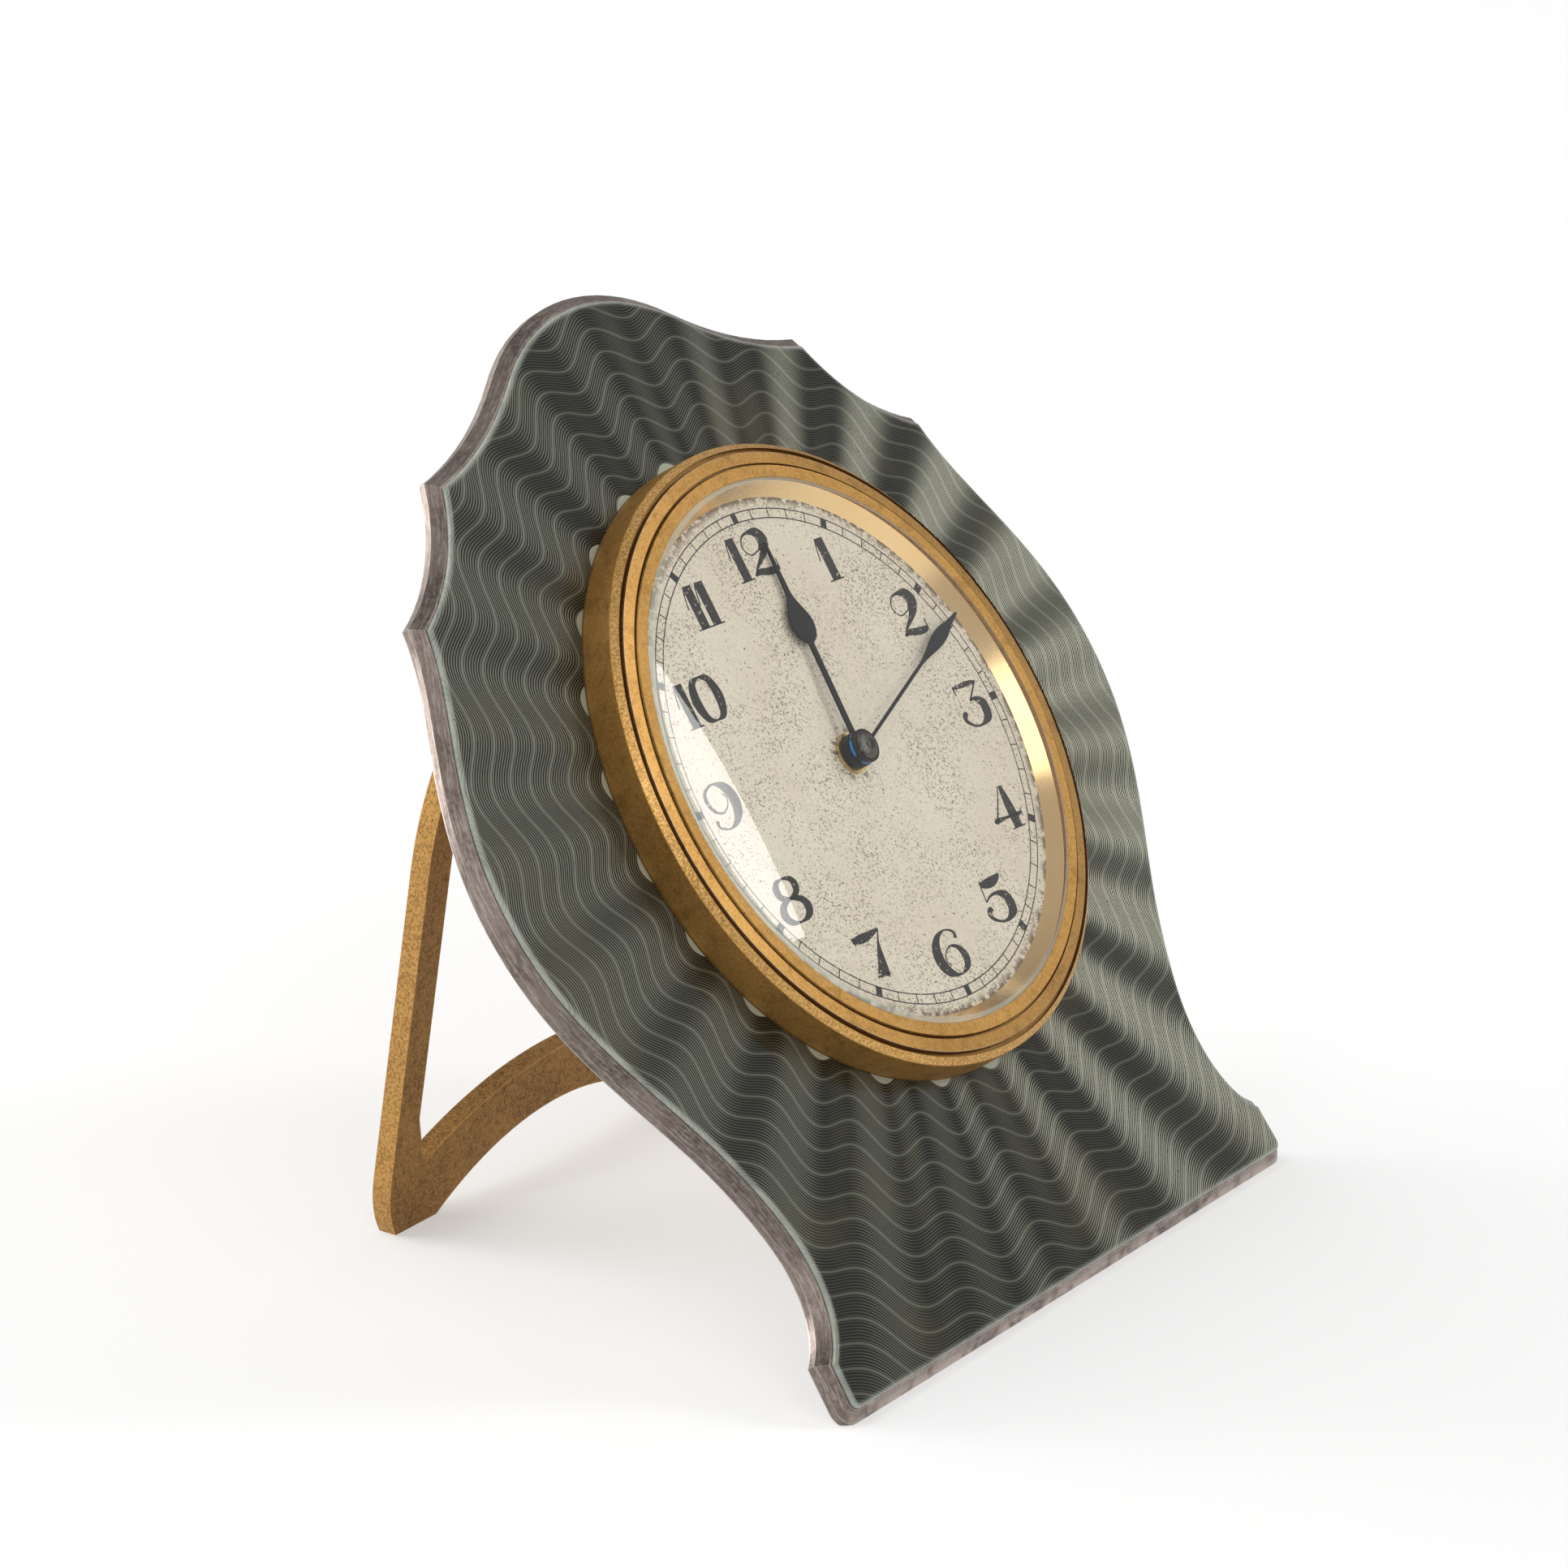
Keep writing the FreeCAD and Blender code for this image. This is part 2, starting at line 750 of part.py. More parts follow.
def spiral(at, start_r, end_r, turns, steps, thick, low, high, phase=0):
    outer = []
    inner = []
    total = turns * steps
    for index in range(total + 1):
        radius = start_r + (end_r - start_r) * index / total
        angle = phase + 360 * index / steps
        outer.append(polar(radius + thick / 2, angle, at))
        inner.append(polar(radius - thick / 2, angle, at))
    return prism(outer + inner[::-1], low, low + high)


spring_in_r = spring_start_r + spring_thick / 2
spring_out_r = spring_end_r - spring_thick / 2
save("mainspring", spiral(
    barrel_at, spring_in_r, spring_out_r, spring_turns, spring_steps,
    spring_thick, spring_low, spring_high))

# Winding arbor with ratchet wheel and butterfly key
hub = disc(barrel_hub_r, barrel_teeth_low + end_shake, barrel_top - barrel_floor - end_shake, barrel_at)
winding = joined(disc(barrel_arbor_r, key_end, main_low + pivot_length, barrel_at), hub)
save("winding_arbor", winding)
ratchet_points = []
for index in range(ratchet_teeth):
    step = 360 / ratchet_teeth
    ratchet_points.append(polar(ratchet_r, index * step, barrel_at))
    ratchet_points.append(polar(ratchet_root_r, index * step + step * gear_backlash_share, barrel_at))
ratchet = prism(ratchet_points, ratchet_low, ratchet_low + ratchet_thick)
ratchet = ratchet.cut(disc(barrel_arbor_r, ratchet_low, ratchet_low + ratchet_thick, barrel_at))
save("ratchet_wheel", ratchet)
key_bottom = barrel_at[1] - key_wing_thick / 2
wing_low = key_boss_end + key_waist
wing_corner = V(barrel_at[0] - key_wing_half, key_bottom, key_wing_end)
wing = Part.makeBox(2 * key_wing_half, key_wing_thick, wing_low - key_wing_end, wing_corner)
wing_corners = []
for edge in wing.Edges:
    box = edge.BoundBox
    if box.YLength > key_wing_thick / 2 and box.XLength < fit_gap and box.ZLength < fit_gap:
        wing_corners.append(edge)
wing = wing.makeFillet(key_wing_round - fit_gap, wing_corners)
eye_z = (wing_low + key_wing_end) / 2
for side in (-key_wing_eye_x, key_wing_eye_x):
    eye_from = V(barrel_at[0] + side, barrel_at[1] - key_wing_thick, eye_z)
    eye = Part.makeCylinder(key_wing_eye_r, 2 * key_wing_thick, eye_from, V(0, 1, 0))
    wing = wing.cut(eye)
key = joined(disc(key_boss_r, key_boss_end, cover_back - 2 * fit_gap, barrel_at), wing)
key = key.cut(disc(barrel_arbor_r, key_end, cover_back, barrel_at))
save("winding_key", key)

# Click that holds the ratchet
click_low = ratchet_low
click_high = ratchet_low + ratchet_thick
click_from = heading(click_at, barrel_at)
tip_reach = math.hypot(click_at[0] - barrel_at[0], click_at[1] - barrel_at[1]) - ratchet_r - click_tip_gap
tip = polar(tip_reach, click_from, click_at)
beak = prism([
    polar(click_wide, click_from + 90, click_at), tip, polar(click_wide, click_from - 90, click_at),
], click_low, click_high)
tail_end = polar(click_tail, click_from + 180, click_at)
tail = prism([
    polar(click_wide / 2, click_from + 90, click_at), polar(click_wide / 2, click_from + 90, tail_end),
    polar(click_wide / 2, click_from - 90, tail_end), polar(click_wide / 2, click_from - 90, click_at),
], click_low, click_high)
click = joined(disc(click_r, click_low, click_high, click_at), beak, tail)
click = click.cut(disc(click_post_r + fit_gap, click_low, click_high, click_at))
save("click", click)
back_plate = back_plate.fuse(disc(click_post_r, click_low - fit_gap, back_low, click_at))
stop_at = polar(click_wide / 2 + click_post_gap + click_post_r, click_from - 90, tail_end)
back_plate = back_plate.fuse(disc(click_post_r, click_low, back_low, stop_at))
save("back_plate", back_plate.removeSplitter())

# Great wheel between barrel and centre pinion
great_pinion = toothed(
    great_pinion_teeth, barrel_module, great_pinion_low, great_pinion_high, great_at,
    tooth_gap(great_pinion_teeth, great_at, barrel_at))
great_phase = heading(great_at, centre_at)
great_gear = toothed(great_teeth, great_module, level_great, wheel_thick, great_at, great_phase)
great_pitch_r = great_teeth * great_module / 2
save("great_wheel", wheel_set(great_at, great_gear, level_great, great_pitch_r, great_pinion))

# Centre wheel; its arbor runs from the cannon pinion to the setting knob
centre_pinion = toothed(
    centre_pinion_teeth, great_module, centre_pinion_low, centre_pinion_high, centre_at,
    tooth_gap(centre_pinion_teeth, centre_at, great_at))
centre_phase = heading(centre_at, third_at)
centre_gear = toothed(centre_teeth, centre_module, level_centre, wheel_thick, centre_at, centre_phase)
centre_gear = crossed(centre_gear, centre_teeth * centre_module / 2, level_centre, wheel_thick, centre_at)
centre_arbor = disc(centre_arbor_r, knob_end + knob_edge, motion_low, centre_at)
centre = joined(centre_arbor, centre_gear, centre_pinion)
save("centre_wheel", centre)

# Third, fourth and escape wheels
third_pinion = toothed(
    third_pinion_teeth, centre_module, level_centre - pinion_extra, pinion_high, third_at,
    tooth_gap(third_pinion_teeth, third_at, centre_at))
third_phase = heading(third_at, fourth_at)
third_gear = toothed(third_teeth, third_module, level_third, wheel_thick, third_at, third_phase)
third_pitch_r = third_teeth * third_module / 2
save("third_wheel", wheel_set(third_at, third_gear, level_third, third_pitch_r, third_pinion))
fourth_pinion = toothed(
    fourth_pinion_teeth, third_module, level_third - pinion_extra, pinion_high, fourth_at,
    tooth_gap(fourth_pinion_teeth, fourth_at, third_at))
fourth_phase = heading(fourth_at, escape_at)
fourth_gear = toothed(fourth_teeth, fourth_module, level_fourth, wheel_thick, fourth_at, fourth_phase)
fourth_pitch_r = fourth_teeth * fourth_module / 2
save("fourth_wheel", wheel_set(fourth_at, fourth_gear, level_fourth, fourth_pitch_r, fourth_pinion))
escape_pinion = toothed(
    escape_pinion_teeth, fourth_module, level_fourth - pinion_extra, pinion_high, escape_at,
    tooth_gap(escape_pinion_teeth, escape_at, fourth_at))
escape_points = []
for index in range(escape_teeth):
    step = 360 / escape_teeth
    escape_points.append(polar(escape_r, index * step, escape_at))
    escape_points.append(polar(escape_root_r, index * step + step * tip_share, escape_at))
    escape_points.append(polar(escape_root_r, index * step + step * rim_share, escape_at))
escape_gear = prism(escape_points, level_escape, level_escape + wheel_thick)
escape_gear = crossed(escape_gear, escape_root_r, level_escape, wheel_thick, escape_at)
save("escape_wheel", joined(arbor(escape_at), escape_gear, escape_pinion))

# Pallet lever on a short staff, under its own cock
lever_top = cock_top - cock_thick
to_escape = heading(lever_at, escape_at)
to_balance = heading(lever_at, balance_at)
arms = []
for side in (-pallet_spread, pallet_spread):
    target = polar(escape_r + pallet_gap + pallet_wide, heading(escape_at, lever_at) + side, escape_at)
    reach = math.hypot(target[0] - lever_at[0], target[1] - lever_at[1])
    along = heading(lever_at, target)
    arms.append(prism([
        polar(fork_wide / 2, along + 90, lever_at), polar(fork_wide / 2, along + 90, target),
        polar(fork_wide / 2, along - 90, target), polar(fork_wide / 2, along - 90, lever_at),
    ], level_escape, level_escape + wheel_thick))
fork_end = polar(fork_gap, heading(balance_at, lever_at), balance_at)
fork = prism([
    polar(fork_wide / 2, to_balance + 90, lever_at), polar(fork_half, to_balance + 90, fork_end),
    polar(fork_half, to_balance - 90, fork_end), polar(fork_wide / 2, to_balance - 90, lever_at),
], level_escape, level_escape + wheel_thick)
lever_staff = disc(arbor_r, back_top + end_shake, lever_top - end_shake, lever_at)
lever_pins = disc(pivot_r, back_top - pivot_length, lever_top + cock_thick / 2, lever_at)
lever = joined(lever_staff, lever_pins, fork, *arms)
save("pallet_lever", lever)
cock_foot = polar(4 * cock_half, to_escape + 90, lever_at)
cock_bar = prism([
    polar(cock_half, to_escape, lever_at), polar(cock_half, to_escape, cock_foot),
    polar(cock_half, to_escape + 180, cock_foot), polar(cock_half, to_escape + 180, lever_at),
], lever_top, cock_top)
cock_end = disc(cock_half, lever_top, cock_top, lever_at)
cock_post = disc(cock_half, back_top, cock_top, cock_foot)
cock = joined(cock_bar, cock_end, cock_post)
cock = cock.cut(disc(pivot_r + fit_gap, lever_top, cock_top, lever_at))
save("lever_cock", cock)

# Balance wheel with staff, roller and impulse pin
balance_top = balance_low + balance_thick
rim = ring(balance_r, balance_in_r, balance_low, balance_top, balance_at)
arm_length = 2 * balance_in_r + (balance_r - balance_in_r)
bar_corner = V(balance_at[0] - arm_length / 2, balance_at[1] - balance_arm / 2, balance_low)
bar = Part.makeBox(arm_length, balance_arm, balance_thick, bar_corner)
staff = arbor(balance_at)
roller = disc(roller_r, roller_low, roller_low + roller_thick, balance_at)
impulse_spot = polar(impulse_at, heading(balance_at, lever_at), balance_at)
impulse = disc(impulse_r, impulse_low, roller_low, impulse_spot)
hair_collet = disc(collet_r, collet_low, collet_low + collet_thick, balance_at)
save("balance_wheel", joined(staff, rim, bar, roller, impulse, hair_collet))
hair_steps = spring_steps
save("hairspring", spiral(
    balance_at, hair_start_r, hair_end_r, hair_turns, hair_steps, hair_thick, hair_low, hair_high, 180))
hair_end = polar(hair_end_r + hair_thick / 2 + stud_r, 180, balance_at)
save("hairspring_stud", disc(stud_r, back_top, hair_low + hair_high, hair_end))

# Regulator lever on the back plate
regulator_out = heading(centre_at, balance_at)
pointer_tip = polar(regulator_length, regulator_out, balance_at)
regulator_high = regulator_low + regulator_thick
pointer = prism([
    polar(regulator_wide, regulator_out + 90, balance_at),
    polar(regulator_wide, regulator_out + 90, pointer_tip),
    polar(regulator_tip_wide, regulator_out, pointer_tip),
    polar(regulator_wide, regulator_out - 90, pointer_tip),
    polar(regulator_wide, regulator_out - 90, balance_at),
], regulator_low, regulator_high)
regulator = joined(disc(regulator_ring_r, regulator_low, regulator_high, balance_at), pointer)
regulator = regulator.cut(disc(regulator_bore_r, regulator_low, regulator_high, balance_at))
save("regulator", regulator)

# Rear cover with its snap rim and the two arbor holes
cover = turned([
    (0, cover_back + cover_dish_deep), (cover_dish_r, cover_back + cover_dish_deep),
    (cover_dish_r + cover_edge, cover_back), (case_out_r - cover_edge, cover_back),
    (case_out_r, cover_back + cover_edge), (case_out_r, case_back), (cover_rim_r, case_back),
    (cover_rim_r, cover_rim_top), (cover_rim_in_r, cover_rim_top), (cover_rim_in_r, case_back),
    (0, case_back),
])
cover = cover.cut(disc(key_hole_r, cover_back, cover_rim_top, barrel_at))
cover = cover.cut(disc(knob_hole_r, cover_back, cover_rim_top, centre_at))
save("rear_cover", cover)

# Ribbed setting knob on the centre arbor
knob_points = []
for index in range(knob_ribs):
    step = 360 / knob_ribs
    knob_points.append(polar(knob_r, index * step))
    knob_points.append(polar(knob_r - knob_rib_deep, index * step + step / 2))
knob = prism(knob_points, knob_end, knob_top)
knob_shape = turned([
    (0, knob_end), (knob_r - knob_edge, knob_end), (knob_r, knob_end + knob_edge),
    (knob_r, knob_top - knob_waist_r / 2), (knob_waist_r, knob_top), (0, knob_top),
])
knob = knob.common(knob_shape).cut(disc(centre_arbor_r, knob_end + knob_edge, knob_top))
save("setting_knob", knob)

# Cannon pinion, minute wheel on its stud, hour wheel
cannon_phase = heading(centre_at, minute_at)
cannon_gear = toothed(cannon_teeth, cannon_module, motion_low, motion_thick, centre_at, cannon_phase)
cannon = joined(cannon_gear, disc(cannon_pipe_r, motion_low, cannon_top, centre_at))
save("cannon_pinion", cannon)
minute_gear = toothed(
    minute_wheel_teeth, cannon_module, motion_low, motion_thick, minute_at,
    tooth_gap(minute_wheel_teeth, minute_at, centre_at))
minute_pinion = toothed(
    minute_pinion_teeth, hour_module, motion_low, minute_pinion_top - motion_low, minute_at,
    heading(minute_at, centre_at))
minute_wheel = joined(minute_gear, minute_pinion)
minute_wheel = minute_wheel.cut(disc(minute_stud_r + fit_gap, motion_low, minute_pinion_top, minute_at))
save("minute_wheel", minute_wheel)
save("minute_stud", disc(minute_stud_r, main_top, minute_stud_top, minute_at))
hour_gear = toothed(
    hour_teeth, hour_module, hour_wheel_low, hour_wheel_thick, centre_at,
    tooth_gap(hour_teeth, centre_at, minute_at))
hour_wheel = joined(hour_gear, disc(hour_pipe_r, hour_wheel_low, hour_pipe_top, centre_at))
hour_wheel = hour_wheel.cut(disc(hour_pipe_in_r, hour_wheel_low, hour_pipe_top, centre_at))
save("hour_wheel", hour_wheel)


# Blued hands: a half outline, mirrored, drooping towards the dial, on a round hub
def blade(stem, swell, tip, low, droop, degrees):
    right = [
        Part.makeLine(at_plane(stem), at_plane(swell[0])),
        curve(swell),
        Part.makeLine(at_plane(swell[-1]), at_plane(tip)),
    ]
    left = [edge.mirror(V(0, 0, 0), V(1, 0, 0)) for edge in right]
    ends = [
        Part.makeLine(at_plane(mirrored(stem)), at_plane(stem)),
        Part.makeLine(at_plane(mirrored(tip)), at_plane(tip)),
    ]
    wire = Part.Wire(Part.sortEdges(right + left + ends)[0])
    flat = Part.Face(wire).extrude(V(0, 0, hand_thick))
    flat.translate(V(0, 0, low))
    flat.rotate(V(0, 0, low), V(1, 0, 0), -droop)
    return spin(flat, -degrees)


def between(start, end, share):
    return start + (end - start) * share


hour_blade = blade((hour_stem_half, hour_hub_r / 2), [
    (hour_stem_half, hour_bulb_low),
    (hour_bulb_half * bulb_shoulder_share, between(hour_bulb_low, hour_bulb_y, bulb_low_share)),
    (hour_bulb_half, hour_bulb_y),
    (hour_bulb_half * bulb_waist_share, between(hour_bulb_y, hour_neck_y, bulb_high_share)),
    (hour_neck_half, hour_neck_y),
], (hour_tip_half, hour_tip_y), hour_blade_low, hour_droop_deg, hour_angle_deg)
hour_hand = joined(ring(hour_hub_r, hour_pipe_r, hour_hub_low, hour_hub_top), hour_blade)
hour_hand = hour_hand.cut(disc(hour_pipe_r, hour_hub_low, hour_pipe_top))
hour_hand = hour_hand.cut(disc(cannon_pipe_r + fit_gap, hour_hub_low, hour_hub_top))
save("hour_hand", hour_hand)
save("hand_collet", ring(collet_ring_r, hour_pipe_r, collet_ring_low, collet_ring_top))
minute_blade = blade((minute_stem_half, minute_hub_r / 2), [
    (minute_stem_half, minute_leaf_low),
    (between(minute_stem_half, minute_leaf_half, leaf_swell_share),
     between(minute_leaf_low, minute_leaf_y, leaf_swell_share)),
    (minute_leaf_half, minute_leaf_y),
    (between(minute_leaf_half, minute_tip_half, leaf_swell_share),
     between(minute_leaf_y, minute_tip_y, leaf_swell_share)),
], (minute_tip_half, minute_tip_y), minute_blade_low, minute_droop_deg, minute_angle_deg)
minute_hand = joined(disc(minute_hub_r, minute_hub_low, minute_hub_top), minute_blade)
minute_hand = minute_hand.cut(disc(cannon_pipe_r, minute_hub_low, cannon_top))
save("minute_hand", minute_hand)
cap_side = (cap_top - minute_hub_top) / 2
cap = turned([
    (0, minute_hub_top), (cap_r, minute_hub_top), (cap_r, minute_hub_top + cap_side / 2),
    (cap_r * rim_share, cap_top - cap_side / 2), (cap_nipple_r, cap_top), (cap_nipple_r, cap_nipple_top),
    (0, cap_nipple_top),
])
save("hand_cap", cap)

# Strut, drawn folded against the plate: horseshoe frame, arched foot rail, neck
strut_low = hinge_z - strut_thick / 2
strut_high = hinge_z + strut_thick / 2
right_top = (strut_arc_r, 0)
sole_out = (strut_foot_out, strut_foot_y - strut_thick)
sole_in = (strut_foot_in, strut_foot_y - strut_thick)
rail_end = (strut_foot_in, strut_foot_y)
frame_edges = [
    arc(mirrored(right_top), (0, strut_arc_r), right_top),
    Part.makeLine(at_plane(right_top), at_plane((strut_side_x, strut_side_low))),
    arc((strut_side_x, strut_side_low), strut_foot_bend, sole_out),
    Part.makeLine(at_plane(sole_out), at_plane(sole_in)),
    Part.makeLine(at_plane(sole_in), at_plane(rail_end)),
    arc(rail_end, (0, bar_low_y), mirrored(rail_end)),
    Part.makeLine(at_plane(mirrored(rail_end)), at_plane(mirrored(sole_in))),
    Part.makeLine(at_plane(mirrored(sole_in)), at_plane(mirrored(sole_out))),
    arc(mirrored(sole_out), mirrored(strut_foot_bend), (-strut_side_x, strut_side_low)),
    Part.makeLine(at_plane((-strut_side_x, strut_side_low)), at_plane(mirrored(right_top))),
]
frame = Part.Face(Part.Wire(Part.sortEdges(frame_edges)[0]))
inner_top = (strut_arc_in_r, 0)
window_edges = [
    arc(mirrored(inner_top), (0, strut_arc_in_r), inner_top),
    Part.makeLine(at_plane(inner_top), at_plane((strut_inner_x, bar_top_y))),
    Part.makeLine(at_plane((strut_inner_x, bar_top_y)), at_plane(bar_side)),
    arc(bar_side, (0, bar_top_y), mirrored(bar_side)),
    Part.makeLine(at_plane(mirrored(bar_side)), at_plane((-strut_inner_x, bar_top_y))),
    Part.makeLine(at_plane((-strut_inner_x, bar_top_y)), at_plane(mirrored(inner_top))),
]
window = Part.Face(Part.Wire(Part.sortEdges(window_edges)[0]))
strut = frame.cut(window).extrude(V(0, 0, strut_thick))
strut.translate(V(0, 0, strut_low))
neck = prism([
    (neck_flare, neck_low), (neck_half, (neck_low + hinge_y) / 2), (neck_half, hinge_y),
    (-neck_half, hinge_y), (-neck_half, (neck_low + hinge_y) / 2), (-neck_flare, neck_low),
], strut_low, strut_high)
knuckle_axis = V(1, 0, 0)
knuckle = Part.makeCylinder(knuckle_r, 2 * knuckle_half, V(-knuckle_half, hinge_y, hinge_z), knuckle_axis)
bore = Part.makeCylinder(pin_bore_r, 2 * knuckle_half, V(-knuckle_half, hinge_y, hinge_z), knuckle_axis)
leaf_reach = hinge_z - leaf_back
tilt = math.radians(strut_open_deg)
heel_long = (-leaf_reach - heel_gap - strut_thick / 2 * math.cos(tilt)) / math.sin(tilt)
heel_from = V(-knuckle_half, hinge_y, strut_low)
heel = Part.makeBox(2 * knuckle_half, max(heel_long, knuckle_r), strut_thick, heel_from)
heel_corner = V(-2 * knuckle_half, hinge_y - 2 * knuckle_r, leaf_back - heel_gap)
heel_plane = Part.makeBox(4 * knuckle_half, 4 * knuckle_r, 4 * knuckle_r, heel_corner)
heel_plane.rotate(V(0, hinge_y, hinge_z), V(1, 0, 0), -strut_open_deg)
strut = joined(strut, neck, knuckle, heel).cut(bore).cut(heel_plane)
strut.rotate(V(0, hinge_y, hinge_z), V(1, 0, 0), strut_open_deg)
strut = strut.cut(cutter)
save("strut", strut.removeSplitter())

# Hinge leaf with two ears, the pin and four screws
leaf = Part.makeBox(2 * leaf_half, leaf_high - leaf_low, leaf_thick, V(-leaf_half, leaf_low, leaf_back))
leaf_corners = []
for edge in leaf.Edges:
    box = edge.BoundBox
    if box.XLength < fit_gap and box.YLength < fit_gap:
        leaf_corners.append(edge)
leaf = leaf.makeFillet(leaf_round, leaf_corners)
ear_in = knuckle_half + knuckle_gap
for side in (-knuckle_out, ear_in):
    barrel_ear = Part.makeCylinder(knuckle_r, knuckle_out - ear_in, V(side, hinge_y, hinge_z), knuckle_axis)
    ear_corner = V(side, hinge_y - ear_reach, hinge_z)
    ear_web = Part.makeBox(knuckle_out - ear_in, 2 * ear_reach, leaf_back - hinge_z, ear_corner)
    leaf = leaf.fuse(barrel_ear).fuse(ear_web)
pin_hole = Part.makeCylinder(pin_r, 2 * pin_half, V(-pin_half, hinge_y, hinge_z), knuckle_axis)
leaf = leaf.cut(pin_hole)
leaf_screws = []
for spot in leaf_holes:
    leaf = leaf.cut(disc(leaf_screw_shank_r + fit_gap, leaf_back, leaf_top, spot))
    head = disc(leaf_screw_r, leaf_back - leaf_screw_head, leaf_back, spot)
    leaf_screw = head.fuse(disc(leaf_screw_shank_r, leaf_back, screw_deep, spot))
    leaf_screws.append(slotted(leaf_screw, spot, leaf_back - leaf_screw_head, leaf_screw_r))
save("hinge_leaf", leaf.removeSplitter())
save("hinge_screws", Part.makeCompound(leaf_screws))
head_long = pin_half - knuckle_out
pin = joined(
    pin_hole,
    Part.makeCylinder(pin_head_r, head_long, V(-pin_half, hinge_y, hinge_z), knuckle_axis),
    Part.makeCylinder(pin_head_r, head_long, V(knuckle_out, hinge_y, hinge_z), knuckle_axis),
)
save("hinge_pin", pin)
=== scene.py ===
import bpy
import json
import math
from mathutils import Matrix, Vector


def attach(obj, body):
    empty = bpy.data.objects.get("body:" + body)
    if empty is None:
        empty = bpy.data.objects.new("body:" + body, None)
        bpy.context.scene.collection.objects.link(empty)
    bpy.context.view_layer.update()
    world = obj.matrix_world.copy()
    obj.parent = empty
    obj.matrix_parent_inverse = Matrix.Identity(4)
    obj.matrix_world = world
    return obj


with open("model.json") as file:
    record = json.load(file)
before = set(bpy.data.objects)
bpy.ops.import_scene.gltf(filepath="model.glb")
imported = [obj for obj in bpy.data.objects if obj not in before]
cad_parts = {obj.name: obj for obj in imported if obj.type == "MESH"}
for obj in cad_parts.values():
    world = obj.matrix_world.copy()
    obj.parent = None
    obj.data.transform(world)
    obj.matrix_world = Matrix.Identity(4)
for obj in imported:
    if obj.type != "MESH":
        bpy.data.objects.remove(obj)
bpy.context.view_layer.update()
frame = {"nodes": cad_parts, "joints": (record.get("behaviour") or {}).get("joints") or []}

# The clock stands on its plate's lower edge, and the plate leans back.
# Every place on it is taken from the arbor of the hands: across, up the plate and out of it.
hands_arbor = next(joint for joint in frame["joints"] if joint["name"] == "hands_set")
hub = Vector(hands_arbor["pos_m"])
out_dir = Vector(hands_arbor["axis"]).normalized()
across_dir = Vector((1, 0, 0))
up_dir = out_dir.cross(across_dir)
mm = 0.001


def on_plate(across, up, out):
    return hub + (across_dir * across + up_dir * up + out_dir * out) * mm


# Camera of a tabletop photograph: a long lens, well to the clock's left.
# It looks down a little, and its place is measured from the hands' arbor in millimetres.
camera_offset = (-466.2, -13.8, 351.6)
camera_look = Vector((0.7944, 0.5189, -0.3156))
camera_data = bpy.data.cameras.new("photo_camera")
camera_data.lens = 164.3
camera_data.sensor_width = 36
camera_data.clip_start = 0.01
camera = bpy.data.objects.new("photo_camera", camera_data)
camera.location = on_plate(*camera_offset)
camera.rotation_euler = camera_look.to_track_quat("-Z", "Y").to_euler()
bpy.context.scene.collection.objects.link(camera)
bpy.context.scene.camera = camera


